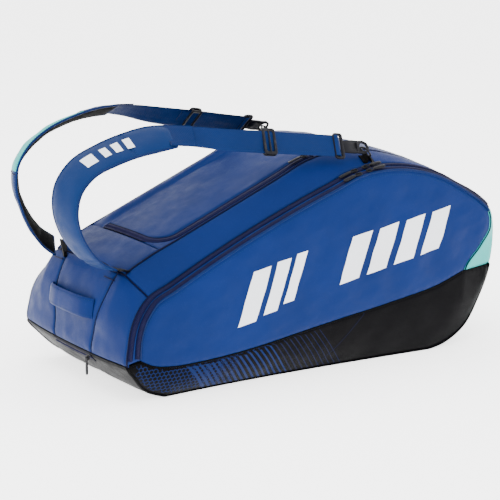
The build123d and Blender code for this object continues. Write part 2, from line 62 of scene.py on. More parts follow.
class Nodes:
    """A material's node tree, built with short calls."""

    def __init__(self, name):
        self.mat = bpy.data.materials.new(name)
        self.mat.use_nodes = True
        self.tree = self.mat.node_tree
        self.bsdf = self.tree.nodes["Principled BSDF"]

    def node(self, kind, ins=(), **props):
        n = self.tree.nodes.new(kind)
        for k, v in props.items():
            setattr(n, k, v)
        for k, v in dict(ins).items():
            self.put(n.inputs[k], v)
        return n

    def put(self, socket, v):
        if isinstance(v, bpy.types.NodeSocket):
            self.tree.links.new(v, socket)
        else:
            socket.default_value = v

    def math(self, op, a, b=0.0, c=0.0):
        return self.node("ShaderNodeMath", {0: a, 1: b, 2: c}, operation=op).outputs[0]

    def noise(self, scale, detail=3.0, rough=0.5, vec=None):
        n = self.node("ShaderNodeTexNoise", {"Scale": scale, "Detail": detail, "Roughness": rough})
        if vec is not None:
            self.put(n.inputs["Vector"], vec)
        return n.outputs["Fac"]

    def remap(self, v, a, b, lo, hi):
        return self.node("ShaderNodeMapRange", {0: v, 1: a, 2: b, 3: lo, 4: hi}).outputs[0]

    def mix(self, f, a, b, blend="MIX"):
        n = self.node("ShaderNodeMix", data_type="RGBA", blend_type=blend)
        for i, v in ((0, f), (6, a), (7, b)):
            self.put(n.inputs[i], v)
        return n.outputs[2]

    def bump(self, height, strength, distance, normal=None):
        n = self.node("ShaderNodeBump", {"Height": height, "Strength": strength, "Distance": distance})
        if normal is not None:
            self.put(n.inputs["Normal"], normal)
        return n.outputs[0]

    def place(self):
        return self.node("ShaderNodeTexCoord").outputs["Object"]

    def flat(self):
        return self.node("ShaderNodeAttribute", attribute_name="st").outputs["Vector"]

    def weave(self, pitch, skew=0.0):
        """Height of a plain weave, from the cloth's own flat coordinates in metres."""
        xyz = self.node("ShaderNodeSeparateXYZ", {0: self.flat()})
        k = math.pi / pitch
        across = self.math("MULTIPLY", xyz.outputs[1], k * skew)
        warp = self.math("SINE", self.math("ADD", self.math("MULTIPLY", xyz.outputs[0], k), across))
        weft = self.math("SINE", self.math("MULTIPLY", xyz.outputs[1], k))
        both = self.math("MULTIPLY", warp, weft)
        return self.math("ADD", self.math("ABSOLUTE", both), self.math("MULTIPLY", both, 0.35))


def tone(base, gain, lift=0.0):
    """The colour times gain, plus lift, with alpha."""
    return tuple(min(1, c * gain + lift) for c in base) + (1,)


def fabric(name, base, rough=0.5, pitch=0.0011, weave=0.35, sheen=0.25, vary=0.12, skew=0.0, crease=0.10,
           spec=0.06, coat=0.0, depth=0.21):
    m = Nodes(name)
    base = tuple(c * depth for c in base)
    place = m.place()
    cloud = m.noise(9.0, 4.0, 0.55, place)
    fine = m.noise(420.0, 2.0, 0.6, place)
    w = m.weave(pitch, skew)
    colour = m.mix(m.remap(cloud, 0.3, 0.7, 0, 1), tone(base, 1 - vary), tone(base, 1 + vary))
    # painted shade: the weave's hollows, where its height is lowest, are darkened toward 0.55 of the base colour
    colour = m.mix(m.remap(w, 0, 1, 0.26, 0.0), colour, tone(base, 0.55))
    colour = m.mix(m.remap(fine, 0.6, 0.8, 0, 0.18), colour, tone(base, 1.6, 0.02))
    m.put(m.bsdf.inputs["Base Color"], colour)
    m.put(m.bsdf.inputs["Roughness"], m.remap(m.noise(60.0, 3.0, 0.6, place), 0.3, 0.7, rough - 0.06, rough + 0.08))
    m.put(m.bsdf.inputs["Specular IOR Level"], spec)
    m.put(m.bsdf.inputs["Sheen Weight"], sheen * SHEEN)
    m.put(m.bsdf.inputs["Sheen Roughness"], 0.45)
    m.put(m.bsdf.inputs["Coat Weight"], coat * COAT)
    m.put(m.bsdf.inputs["Coat Roughness"], 0.35)
    soft = m.bump(m.noise(26.0, 3.0, 0.5, place), crease, 0.0022)
    m.put(m.bsdf.inputs["Normal"], m.bump(w, weave, 0.00025, soft))
    return m.mat


def metal(name, base, rough=0.38):
    m = Nodes(name)
    place = m.place()
    grain = m.noise(700.0, 3.0, 0.6, place)
    wear = m.noise(90.0, 4.0, 0.6, place)
    colour = m.mix(m.remap(wear, 0.55, 0.75, 0, 0.5), tone(base, 1), tone(base, 2.2, 0.03))
    m.put(m.bsdf.inputs["Base Color"], colour)
    m.put(m.bsdf.inputs["Metallic"], 0.6)
    m.put(m.bsdf.inputs["Specular IOR Level"], 0.2)
    m.put(m.bsdf.inputs["Roughness"], m.remap(wear, 0.3, 0.7, rough - 0.08, rough + 0.12))
    m.put(m.bsdf.inputs["Normal"], m.bump(grain, 0.25, 0.0001))
    return m.mat


def plastic(name, base, rough=0.45):
    m = Nodes(name)
    place = m.place()
    grain = m.noise(900.0, 2.0, 0.6, place)
    cloud = m.noise(70.0, 3.0, 0.5, place)
    colour = m.mix(m.remap(cloud, 0.3, 0.7, 0, 0.4), tone(base, 1), tone(base, 1.5, 0.01))
    m.put(m.bsdf.inputs["Base Color"], colour)
    m.put(m.bsdf.inputs["Roughness"], m.remap(cloud, 0.3, 0.7, rough - 0.06, rough + 0.08))
    m.put(m.bsdf.inputs["Specular IOR Level"], 0.1)
    m.put(m.bsdf.inputs["Normal"], m.bump(grain, 0.3, 0.0001))
    return m.mat


BLUE = srgb(22, 66, 158)
M = {
    "blue": fabric("blue_coated_cloth", BLUE, 0.46, 0.0010, 0.22, 0.22, 0.10, coat=0.12),
    "rim": fabric("blue_rim_cloth", srgb(22, 60, 136), 0.46, 0.0009, 0.3, 0.25, 0.1, skew=0.6),
    "seam": fabric("navy_binding", srgb(13, 18, 74), 0.55, 0.0008, 0.35, 0.15, 0.15, skew=1.0),
    "tape": fabric("zip_tape", srgb(30, 32, 116), 0.6, 0.0007, 0.5, 0.2, 0.15),
    "black": fabric("black_coated_cloth", srgb(15, 14, 20), 0.42, 0.0010, 0.3, 0.05, 0.2, spec=0.03),
    "black_soft": fabric("black_mesh_lining", srgb(16, 16, 20), 0.75, 0.0022, 0.9, 0.05, 0.2,
                         spec=0.02),
    "turquoise": fabric("turquoise_cloth", srgb(66, 190, 184), 0.46, 0.0010, 0.25, 0.22, 0.08, coat=0.1,
                        depth=0.6),
    "web": fabric("blue_webbing", srgb(24, 66, 142), 0.55, 0.0019, 0.9, 0.3, 0.12),
    "pad": fabric("blue_pad_cloth", srgb(28, 76, 154), 0.47, 0.0010, 0.22, 0.25, 0.09, coat=0.12),
    "lining": fabric("grey_lining", srgb(58, 60, 66), 0.7, 0.0009, 0.4, 0.25, 0.15),
    "thread": fabric("blue_thread", srgb(40, 90, 168), 0.6, 0.0005, 0.6, 0.3, 0.1),
    "thread_dark": fabric("black_thread", srgb(30, 30, 38), 0.6, 0.0005, 0.6, 0.3, 0.1),
    "white": fabric("white_print", srgb(236, 239, 245), 0.5, 0.0010, 0.2, 0.1, 0.03, crease=0.15,
                    depth=0.85),
    "print": fabric("blue_print", srgb(22, 60, 140), 0.5, 0.0010, 0.2, 0.1, 0.08, crease=0.15),
    "print_dim": fabric("dim_blue_print", srgb(15, 32, 84), 0.5, 0.0010, 0.2, 0.1, 0.08, crease=0.15),
    "coil": plastic("zip_coil_nylon", srgb(14, 14, 46), 0.55),
    "metal": metal("gunmetal", srgb(24, 24, 28), 0.42),
    "board": plastic("stiffener_board", srgb(40, 40, 42), 0.7),
}

# ---------------------------------------------------------------- mesh helpers


def add_mesh(name, co, faces, mats, st=None, face_mats=None):
    """co in millimetres; st is the cloth's own flat coordinates."""
    mesh = bpy.data.meshes.new(name)
    mesh.from_pydata((np.asarray(co, float) * MM).tolist(), [], [list(map(int, f)) for f in faces])
    attribute = mesh.attributes.new("st", "FLOAT_VECTOR", "POINT")
    st = np.zeros((len(co), 3)) if st is None else np.asarray(st, float) * MM
    attribute.data.foreach_set("vector", st.astype(np.float32).ravel())
    for m in mats:
        mesh.materials.append(M[m])
    if face_mats is not None:
        mesh.polygons.foreach_set("material_index", np.asarray(face_mats, np.int32))
    mesh.polygons.foreach_set("use_smooth", [True] * len(mesh.polygons))
    mesh.update()
    o = bpy.data.objects.new(name, mesh)
    bpy.context.scene.collection.objects.link(o)
    return o


class Build:
    """Collects pieces of mesh that become one object."""

    def __init__(self):
        self.co, self.st, self.faces, self.mat = [], [], [], []
        self.count = 0

    def add(self, co, faces, mat, st=None):
        co = np.asarray(co, float).reshape(-1, 3)
        st = np.zeros_like(co) if st is None else np.asarray(st, float).reshape(-1, 3)
        self.co.append(co)
        self.st.append(st)
        self.faces.extend([[i + self.count for i in f] for f in faces])
        self.mat.extend([mat] * len(faces))
        self.count += len(co)

    def object(self, name, body, slot, replaces=(), flip=False):
        names = sorted(set(self.mat))
        co, st = np.vstack(self.co), np.vstack(self.st)
        if flip:
            co = co * (1, -1, 1)
            self.faces = [f[::-1] for f in self.faces]
        o = add_mesh(name, co, self.faces, names, st, [names.index(m) for m in self.mat])
        if body is not None:
            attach(o, body)
        if replaces:
            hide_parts(*replaces)
        return o


def quads(nu, nv, base=0, flip=False, close_u=False):
    out = []
    for i in range(nu if close_u else nu - 1):
        a, b = i * nv, ((i + 1) % nu) * nv
        for j in range(nv - 1):
            f = [base + a + j, base + b + j, base + b + j + 1, base + a + j + 1]
            out.append(f[::-1] if flip else f)
    return out


def unit(v):
    """Vectors of length 1 along the last axis."""
    v = np.asarray(v, float)
    return v / np.linalg.norm(v, axis=-1, keepdims=True)


def tangents(P):
    return unit(np.gradient(P, axis=0))


def run(P):
    """Length along a line of points, up to each of them."""
    return np.concatenate([[0], np.cumsum(np.linalg.norm(np.diff(P, axis=0), axis=1))])


def sleeve(n, m, flip=False, caps=0):
    """Faces round n rings of m points; caps is 1 or -1 for the way round the end faces go, 0 for none."""
    faces = []
    for i in range(n - 1):
        for j in range(m):
            k = (j + 1) % m
            f = [i * m + j, i * m + k, (i + 1) * m + k, (i + 1) * m + j]
            faces.append([f[0], f[3], f[2], f[1]] if flip else f)
    if caps:
        faces += [list(range(m))[::caps], list(range((n - 1) * m, n * m))[::-caps]]
    return faces


def normals_of(P):
    du, dv = np.gradient(P, axis=0), np.gradient(P, axis=1)
    n = np.cross(du, dv)
    length = np.linalg.norm(n, axis=2, keepdims=True)
    return n / np.maximum(length, 1e-9)


def lengths(P, axis):
    step = np.linalg.norm(np.diff(P, axis=axis), axis=2)
    return np.concatenate([np.zeros_like(np.take(step, [0], axis=axis)), np.cumsum(step, axis=axis)], axis=axis)


WAVES = []
for band, count in ((70.0, 9), (34.0, 12), (15.0, 14)):
    dirs = rng.normal(size=(count, 3))
    dirs /= np.linalg.norm(dirs, axis=1, keepdims=True)
    WAVES.append((band, dirs, rng.uniform(0, 2 * math.pi, count), rng.uniform(0.75, 1.3, count)))


def wrinkle(P, k=(1.0, 0.45, 0.12), seed=0.0):
    """Smooth, low undulation of soft cloth, in millimetres, near -1 to 1."""
    total = np.zeros(P.shape[:-1])
    for (band, dirs, phase, stretch), amount in zip(WAVES, k):
        for d, ph, sc in zip(dirs, phase, stretch):
            total += amount * np.sin((P @ d) * 2 * math.pi / (band * sc) + ph + seed) / math.sqrt(len(dirs))
    return total


def ticks(length, step, fine=True):
    """Fractions 0..1 along a panel of this length, closer together at both borders."""
    ends = [0, 0.8, 1.7, 2.8, 4.2, 6.2, 9.0] if fine else [0, 3.0]
    if length < 2.4 * ends[-1]:
        ends = [e * length / (2.4 * ends[-1]) for e in ends]
    middle = length - 2 * ends[-1]
    n = max(1, int(round(middle / step)))
    inner = [ends[-1] + middle * i / n for i in range(1, n)]
    out = ends + inner + [length - e for e in reversed(ends)]
    return np.array(out) / length


class Panel:
    """A padded cloth panel: crowned and wrinkled, rolling down to its seams, with thickness."""

    def __init__(self, P, thick=4.0, puff=2.0, roll=2.2, borders=(1, 1, 1, 1), wave=0.8, pucker=0.35, seed=0.0,
                 flip=False, reach=2.6):
        self.flip = flip
        N = normals_of(P) * (-1 if flip else 1)
        lu, lv = lengths(P, 0), lengths(P, 1)
        big = np.full(P.shape[:2], 1e3)
        parts = [lu if borders[0] else big, lu[-1:] - lu if borders[1] else big,
                 lv if borders[2] else big, lv[:, -1:] - lv if borders[3] else big]
        d = np.minimum.reduce(parts)
        along = np.where(np.minimum(parts[2], parts[3]) < np.minimum(parts[0], parts[1]), lu, lv)
        near = np.exp(-(d / 7.0) ** 2) * (1 - np.exp(-(d / 1.6) ** 2))
        out = puff * (1 - np.exp(-d / 13.0)) - roll * np.exp(-(d / reach) ** 2)
        out = out + 0.6 * wave * wrinkle(P, seed=seed) * (1 - np.exp(-(d / 10.0) ** 2))
        out = out + pucker * near * np.sin(along * 2 * math.pi / 11.0 + 2 * np.sin(along / 23.0 + seed))
        self.outer = P + N * out[..., None]
        self.N = normals_of(self.outer) * (-1 if flip else 1)
        self.inner = P - N * thick
        self.inner[..., 2] = np.maximum(self.inner[..., 2], 0.6)
        self.outer[..., 2] = np.maximum(self.outer[..., 2], 0.0)
        self.st = np.stack([lu, lv, np.zeros_like(lu)], axis=-1)
        self.shape = P.shape[:2]

    def mesh(self, b, mat, inner_mat="lining"):
        nu, nv = self.shape
        b.add(self.outer, quads(nu, nv, flip=self.flip), mat, self.st)
        b.add(self.inner, quads(nu, nv, flip=not self.flip), inner_mat, self.st)
        ring = np.stack([np.concatenate([G[0], G[1:, -1], G[-1, -2::-1], G[-2:0:-1, 0]])
                         for G in (self.outer, self.inner)], axis=1)
        b.add(ring, quads(len(ring), 2, close_u=True, flip=self.flip), mat, ring * 0.2)

    def line(self, axis, dist, from_end=False, lift=0.0):
        return inset(self.outer, self.N, axis, dist, from_end, lift)


def inset(G, N, axis, dist, from_end=False, lift=0.0):
    """Points of a grid at a distance inside one border: axis 0 runs along u, axis 1 along v."""
    if axis == 1:
        G, N = G.transpose(1, 0, 2), N.transpose(1, 0, 2)
    if from_end:
        G, N = G[:, ::-1], N[:, ::-1]
    s = lengths(G, 1)
    pts, nor = [], []
    for i in range(G.shape[0]):
        k = min(dist, s[i, -1] * 0.49)
        pts.append([np.interp(k, s[i], G[i, :, c]) for c in range(3)])
        nor.append([np.interp(k, s[i], N[i, :, c]) for c in range(3)])
    nor = unit(nor)
    return np.array(pts) + nor * lift, nor


def resample(points, step, extra=None):
    points = np.asarray(points, float)
    s = run(points)
    n = max(2, int(round(s[-1] / step)) + 1)
    at = np.linspace(0, s[-1], n)
    out = np.stack([np.interp(at, s, points[:, c]) for c in range(3)], axis=1)
    if extra is None:
        return out
    e = np.stack([np.interp(at, s, extra[:, c]) for c in range(3)], axis=1)
    return out, unit(e)


def tube(b, points, radius, mat, sides=8, step=3.0, up=(0, 0, 1), closed=False):
    """A round cord along points."""
    P = resample(points, step)
    n = len(P)
    T = np.gradient(P, axis=0)
    if closed:
        T[0] = T[-1] = P[1] - P[-2]
    T = unit(T)
    ref = np.array(up, float)
    A = ref - T[0] * (ref @ T[0])
    if np.linalg.norm(A) < 1e-3:
        A = np.cross(T[0], (1, 0.3, 0))
    A /= np.linalg.norm(A)
    rings, st = [], []
    a = np.arange(sides) * 2 * math.pi / sides
    for i in range(n):
        A = A - T[i] * (A @ T[i])
        A /= np.linalg.norm(A)
        B = np.cross(T[i], A)
        rings.append(P[i] + radius * (np.cos(a)[:, None] * A + np.sin(a)[:, None] * B))
        st.append(np.stack([np.full(sides, i * step), a * radius * 2, np.zeros(sides)], axis=1))
    b.add(rings, sleeve(n, sides, caps=0 if closed else -1), mat, st)


def stitches(b, points, nor, mat="thread", length=3.0, gap=1.3, r=0.42):
    """A row of raised stitches along a line on a panel."""
    P, N = resample(points, length + gap, nor)
    P2 = (P[1:] + P[:-1]) / 2
    T = unit(P[1:] - P[:-1])
    N = N[:-1]
    B = np.cross(N, T)
    profile = ((-0.5, 0.25), (-0.36, 0.85), (0.0, 1.0), (0.36, 0.85), (0.5, 0.25))
    co, faces = [], []
    for c, t, n, w in zip(P2, T, N, B):
        base = len(co)
        for k, g in profile:
            for a in (0, 1, 2, 3, 4):
                ang = math.pi * a / 4
                co.append(c + t * k * length + (w * math.cos(ang) * g + n * (math.sin(ang) * g - 0.15)) * r)
        for i in range(4):
            for j in range(4):
                p = base + i * 5 + j
                faces.append([p, p + 1, p + 6, p + 5])
    b.add(co, faces, mat, np.array(co) * 0.3)


def ribbon(b, points, nor, width, mat, thick=0.5, lift=0.0, across=5, crown=0.15, step=3.0):
    """A thin flat tape lying on a surface along a line."""
    P, N = resample(points, step, nor)
    W = unit(np.cross(N, tangents(P)))
    v = np.linspace(-0.5, 0.5, across)
    low = P[:, None] + W[:, None] * (v * width)[None, :, None] + N[:, None] * lift
    top = low + N[:, None] * (thick + crown * np.cos(v * math.pi))[None, :, None]
    s = np.arange(len(P)) * step
    st = np.stack([np.repeat(s[:, None], across, 1), np.repeat((v * width)[None], len(P), 0),
                   np.zeros((len(P), across))], axis=-1)
    ring = np.concatenate([top, low[:, ::-1]], axis=1)
    b.add(ring, sleeve(len(P), across * 2, True, 1), mat, np.concatenate([st, st[:, ::-1]], axis=1))


def coil(b, points, nor, width=5.2, pitch=2.1):
    """The closed teeth of a nylon coil zip, each a rounded bar."""
    P, N = resample(points, pitch, nor)
    T = tangents(P)
    W = np.cross(N, T)
    co, faces = [], []
    half = width / 2
    for i in range(len(P)):
        c, t, n, w = P[i], T[i], N[i], W[i]
        base = len(co)
        lean = 0.35 * pitch
        for side, y in enumerate((-half, -half * 0.45, 0.0, half * 0.45, half)):
            h = (0.25, 1.1, 0.9, 1.1, 0.25)[side]
            g = (0.22, 0.36, 0.42, 0.36, 0.22)[side] * pitch
            m = c + w * y + t * (lean * y / half)
            co += [m - t * g, m + n * h, m + t * g]
        for k in range(4):
            for j in range(2):
                p = base + k * 3 + j
                faces.append([p, p + 3, p + 4, p + 1])
    b.add(co, faces, "coil", np.array(co) * 0.3)


def beside(P, N, offset):
    """The line moved sideways on its surface."""
    return P + unit(np.cross(N, np.gradient(P, axis=0))) * offset


def plate(b, outline, thick, place, bevel=0.5, hole=None, rise=0.0):
    """A flat metal plate from a 2-D outline, with rounded edges; place maps (x, y, z) to the row frame."""
    O = np.asarray(outline, float)
    c = O.mean(0)
    d = O - c
    reach = np.maximum(np.linalg.norm(d, axis=1, keepdims=True), 1e-6)
    half = thick / 2
    n = len(O)
    loops = []
    for inset_by, z in ((bevel, half), (bevel * 0.3, half - bevel * 0.3), (0, half - bevel), (0, -half + bevel),
                        (bevel * 0.3, -half + bevel * 0.3), (bevel, -half)):
        loops.append(np.column_stack([c + d * (1 - inset_by / reach), np.full(n, z)]))
    if hole is not None:
        H = np.asarray(hole, float)
        loops += [np.column_stack([H, np.full(n, -half)]), np.column_stack([H, np.full(n, half)])]
    m = len(loops)
    faces = []
    for k in range(m if hole is not None else m - 1):
        k2 = (k + 1) % m
        for i in range(n):
            j = (i + 1) % n
            faces.append([k * n + i, k2 * n + i, k2 * n + j, k * n + j])
    if hole is None:
        faces += [list(range(n)), list(range((m - 1) * n, m * n))[::-1]]
    local = np.concatenate(loops)
    b.add(place(local + (0, 0, rise)), faces, "metal", local)


def wire(b, place, points, radius, **opts):
    """A round bar through points of a local frame."""
    tube(b, place(np.array(points, float)), radius, "metal", **opts)


def frame_at(origin, x, z):
    """Maps local points to the row frame: x along, z out."""
    x, z = unit(x), unit(z)
    y = unit(np.cross(z, x))
    z = np.cross(x, y)
    origin = np.array(origin, float)
    return lambda p: origin + p[:, [0]] * x + p[:, [1]] * y + p[:, [2]] * z


def circle(radius_x, radius_y, n=24):
    a = np.arange(n) * 2 * math.pi / n
    return np.column_stack([radius_x * np.cos(a), radius_y * np.sin(a)])


def rounded(w, h, r, n=5):
    """Outline of a rounded rectangle, centred."""
    r = min(r, w / 2 - 1e-3, h / 2 - 1e-3)
    pts = []
    for cx, cy, a0 in ((w / 2 - r, h / 2 - r, 0), (-w / 2 + r, h / 2 - r, 90), (-w / 2 + r, -h / 2 + r, 180),
                       (w / 2 - r, -h / 2 + r, 270)):
        for i in range(n + 1):
            a = math.radians(a0 + 90 * i / n)
            pts.append((cx + r * math.cos(a), cy + r * math.sin(a)))
    return np.array(pts)

# ---------------------------------------------------------------- the bag's outline and surface

# half widths at the zip edge of the side and at the seam of the top, all in millimetres
SIDE, SEAM_AT = 179.0, 118.0
LID_HINGE_Y = 74.2
# the raised fold beside the pocket lid
CREST, CREST_Y, CREST_WIDTH = 7.0, 92, 16.0
CLIMB_C, CLIMB_R = (853.75, -2019.21), 2475.0
PEAK_C, PEAK_R = (137.0, 34.0), 305.0
LID_T0, LID_T1 = 5.398, 10.171


def climb(x):
    """Height of the long straight climb of the zip at x, and its normal in x and z."""
    z = CLIMB_C[1] + math.sqrt(CLIMB_R ** 2 - (x - CLIMB_C[0]) ** 2)
    return z, (x - CLIMB_C[0]) / CLIMB_R, (z - CLIMB_C[1]) / CLIMB_R


def climb_crown(x, z, mx, mz):
    """How far the seam beside the gusset stands out from the climb."""
    return (226 + 0.425 * (x + 278) - z) / (mz - 0.425 * mx)


def smooth(x, a, b):
    k = np.clip((np.asarray(x, float) - a) / (b - a), 0, 1)
    return k * k * (3 - 2 * k)


def stations():
    """x, z, crown, rise, edge y and side drop at each station, and the mitre vector."""
    rows = [(-359, 66, 4, 2, 178, 23), (-356, 100, 6, 2, 177, 22), (-348, 128, 12, 3, 174, 20),
            (-334, 150, 20, 4, 169, 17), (-311, 170, 33, 5, 163, 12)]
    for i in range(6):
        x = -272 + 362 / 6 * i
        rows.append((x, climb(x)[0], climb_crown(x, *climb(x)), 5, 157, 8))
    first = math.degrees(math.acos((90 - PEAK_C[0]) / PEAK_R))
    for i in range(6):
        a = math.radians(first + (58 - first) * i / 5)
        x = PEAK_C[0] + PEAK_R * math.cos(a)
        crown = float(np.interp(x, (90, 190, 215, 300), (27, 10, 7, 4)))
        rows.append((x, PEAK_C[1] + PEAK_R * math.sin(a), crown, 5, 157, 8))
    rows += [(324, 280, 4, 8, 158, 10), (349, 264, 5, 8, 160, 11), (369, 244, 8, 8, 163, 12),
             (380, 214, 12, 6, 160, 18), (382, 180, 15, 5, 159, 39), (377, 140, 17, 5, 159, 68),
             (352, 78, 18, 5, 158, 8), (325, 35, 14, 4, 156, 8), (284, 8, 5, 2, 152, 8), (250, 0, 0, 0, 150, 8),
             (-275, 0, 0, 0, 150, 8), (-312, 15, 2, 1, 154, 8), (-343, 45, 3, 2, 170, 8)]
    R = np.array(rows, float)
    P = R[:, :2]
    before, after = P - np.roll(P, 1, 0), np.roll(P, -1, 0) - P
    n1 = np.column_stack([-before[:, 1], before[:, 0]]) / np.linalg.norm(before, axis=1)[:, None]
    n2 = np.column_stack([-after[:, 1], after[:, 0]]) / np.linalg.norm(after, axis=1)[:, None]
    m = (n1 + n2) / (1 + (n1 * n2).sum(1))[:, None]
    m[22] = (1, 0)
    return R, m


ROWS, MITRE = stations()


def key(y, h):
    """Spline keys at these y, standing out by h along each station's mitre."""
    return np.column_stack([ROWS[:, 0] + MITRE[:, 0] * h, y, ROWS[:, 1] + MITRE[:, 1] * h])


def hermite(K, i, j, u, H, m):
    return ((2 * u ** 3 - 3 * u ** 2 + 1) * K[i] + (u ** 3 - 2 * u ** 2 + u) * H * m[i]
            + (3 * u ** 2 - 2 * u ** 3) * K[j] + (u ** 3 - u ** 2) * H * m[j])


def closed_spline(K):
    n = len(K)
    step = np.roll(K, -1, 0) - K
    h = np.linalg.norm(step, axis=1)
    d = step / h[:, None]
    hp, dp = np.roll(h, 1), np.roll(d, 1, 0)
    m = (dp * h[:, None] + d * hp[:, None]) / (h + hp)[:, None]

    def f(t):
        t = np.asarray(t, float) % n
        i = np.floor(t).astype(int) % n
        return hermite(K, i, (i + 1) % n, (t - i)[..., None], h[i][..., None], m)
    return f


def open_spline(K):
    """Spline through open keys of any width; only the first three values are a place."""
    K = np.asarray(K, float)
    h = np.linalg.norm(np.diff(K[:, :3], axis=0), axis=1)
    d = np.diff(K, axis=0) / h[:, None]
    m = np.zeros_like(K)
    m[0], m[-1] = d[0], d[-1]
    m[1:-1] = (d[:-1] * h[1:, None] + d[1:] * h[:-1, None]) / (h[1:] + h[:-1])[:, None]

    def f(t):
        t = np.clip(np.asarray(t, float), 0, len(K) - 1)
        i = np.minimum(t.astype(int), len(K) - 2)
        return hermite(K, i, i + 1, (t - i)[:, None], h[i][:, None], m)
    return f


zero = np.zeros(len(ROWS))
A_OF = closed_spline(key(zero - SIDE, -ROWS[:, 5]))
B_OF = closed_spline(key(-ROWS[:, 4], zero))
C_OF = closed_spline(key(zero - SEAM_AT, ROWS[:, 2]))
D_OF = closed_spline(key(zero, ROWS[:, 2] + ROWS[:, 3]))


def belt(T, V):
    """The band that wraps the bag: V is -3 at the right zip edge, 0 on the centre line, 3 on the left."""
    T, V = np.broadcast_arrays(np.asarray(T, float), np.asarray(V, float))
    a = np.abs(V)[..., None]
    A, B, C, D = A_OF(T), B_OF(T), C_OF(T), D_OF(T)
    top = C + (D - C) * (1 - np.minimum(a, 1) ** 2)
    top[..., 1] = -SEAM_AT * np.minimum(a[..., 0], 1)
    out = np.where(a <= 1, top, np.where(a <= 2, C + (B - C) * (a - 1), B + (A - B) * (a - 2)))
    out[..., 1] *= np.where(V > 0, -1.0, 1.0)
    y = out[..., 1]
    crest = CREST * np.exp(-((y - CREST_Y) / CREST_WIDTH) ** 2) * smooth(T, 5.2, 6.0) * (1 - smooth(T, 9.6, 10.6))
    out[..., 2] = np.maximum(out[..., 2] + crest * smooth(y, LID_HINGE_Y + 1.8, 90.0), 0)
    return out


def belt_line(T, V):
    """Points and outward normals along a line on the band."""
    e = 0.02
    P = belt(T, V)
    du = belt(T + e, V) - belt(T - e, V)
    dv = belt(T, V + e) - belt(T, V - e)
    return P, unit(np.cross(du, dv))


def belt_grid(t0, t1, v0, v1, step_t=5.0, step_v=6.0):
    """Grid between t0 and t1; v0 and v1 may be functions of t."""
    f0 = v0 if callable(v0) else (lambda t: np.full_like(t, v0))
    f1 = v1 if callable(v1) else (lambda t: np.full_like(t, v1))
    probe = np.linspace(t0, t1, 120)
    mid = belt(probe, (f0(probe) + f1(probe)) / 2)
    s = run(mid)
    t = np.interp(ticks(s[-1], step_t) * s[-1], s, probe)
    tm = np.array([(t0 + t1) / 2] * 60)
    cross = belt(tm, np.linspace(f0(tm)[0], f1(tm)[0], 60))
    w = run(cross)
    k = np.interp(ticks(w[-1], step_v) * w[-1], w, np.linspace(0, 1, 60))
    T = np.repeat(t[:, None], len(k), 1)
    V = f0(t)[:, None] * (1 - k)[None] + f1(t)[:, None] * k[None]
    return belt(T, V)


def cord_on_belt(b, t0, t1, v, radius, mat, sink, n=260):
    """A piping cord half sunk in the band, along it at v."""
    T = np.linspace(t0, t1, n)
    P, N = belt_line(T, v(T) if callable(v) else np.full(n, float(v)))
    tube(b, P - N * sink, radius, mat)


def across_belt(t, v0, v1, n=90):
    return belt_line(np.full(n, float(t)), np.linspace(v0, v1, n))


def pocket_edge(t, more=0.0):
    """The lid's open edge, which turns through a round corner at the narrow end; more moves it outwards in V."""
    k = np.clip((6.05 - np.asarray(t, float)) / (0.45 + more * 1.25), 0, 1)
    return -0.455 - (0.35 + more) * np.sqrt(1 - k * k)


def cap_near(t):
    return -0.593 - 0.24 * smooth(t, 0, 4)


def cap_far(t):
    return 0.50 + 0.10 * smooth(t, 0, 4)


# ---- band panels that stay with the body of the bag
b = Build()
stay = {}
for name, args, kind, opts in (
        ("cap_right", (0, 4, -2.0, cap_near), "blue", dict(puff=2.5, seed=1)),
        ("cap_centre", (0, 4, cap_near, cap_far), "blue", dict(puff=3.0, seed=2)),
        ("cap_left", (0, 4, cap_far, 2.0), "blue", dict(puff=2.5, seed=3)),
        ("gusset_right", (4, 19, -2.0, -1.0), "blue", dict(puff=2.2, seed=4, wave=0.7)),
        ("gusset_left", (4, 19, 1.0, 2.0), "blue", dict(puff=2.2, seed=5, wave=0.7)),
        ("top_narrow", (4, LID_T0, -1.0, 1.0), "blue", dict(puff=1.5, seed=6)),
        ("top_head", (LID_T1, 19, -1.0, 1.0), "blue", dict(puff=1.8, seed=7, wave=1.0)),
        ("border_right", (LID_T0, LID_T1, -1.0, lambda t: pocket_edge(t, 0.147)), "blue",
         dict(puff=0.6, roll=0.8, wave=0.2, pucker=0.1)),
        ("border_left", (LID_T0, LID_T1, 75 / SEAM_AT, 1.0), "blue", dict(puff=1.0, seed=8, borders=(1, 1, 0, 1))),
        ("underside", (27, 30, -2.0, 2.0), "black", dict(puff=1.0, seed=9)),
        ("head_low", (22, 26, -2.0, 2.0), "black", dict(puff=2.5, seed=10)),
        ("base", (26, 27, -2.0, 2.0), "black", dict(puff=0.5, seed=12, wave=0.2)),
        ("accent", (19, 22, -3.0, 3.0), "turquoise", dict(puff=2.0, seed=13, wave=0.6))):
    coarse = name == "base"
    G = belt_grid(*args, step_t=14 if coarse else 4.5, step_v=12 if coarse else 5.5)
    panel = Panel(G, **opts)
    stay[name] = panel
    panel.mesh(b, kind, "lining" if kind != "black" else "black_soft")

for sgn in (-1, 1):
    cord_on_belt(b, 4, 19, 1.0 * sgn, 1.7, "seam", 0.9, 220)
    cord_on_belt(b, 0, 19, 2.0 * sgn, 1.5, "seam", 1.2)
    cord_on_belt(b, 22, 30, 2.0 * sgn, 2.3, "black", 0.4)
    cord_on_belt(b, 19, 22, 2.0 * sgn, 1.0, "turquoise", 1.6, 60)
cord_on_belt(b, 0, 4, cap_near, 1.3, "seam", 1.4, 60)
cord_on_belt(b, 0, 4, cap_far, 1.3, "seam", 1.4, 60)
for t, mat, r, sink in ((4, "seam", 1.2, 1.0), (19, "seam", 1.3, 1.0), (22, "black", 1.5, 1.0),
                        (26, "black", 1.6, 1.0), (27, "black", 1.6, 1.0), (0, "black", 1.9, 0.6)):
    P, N = across_belt(t, -2, 2)
    tube(b, P - N * sink, r, mat)

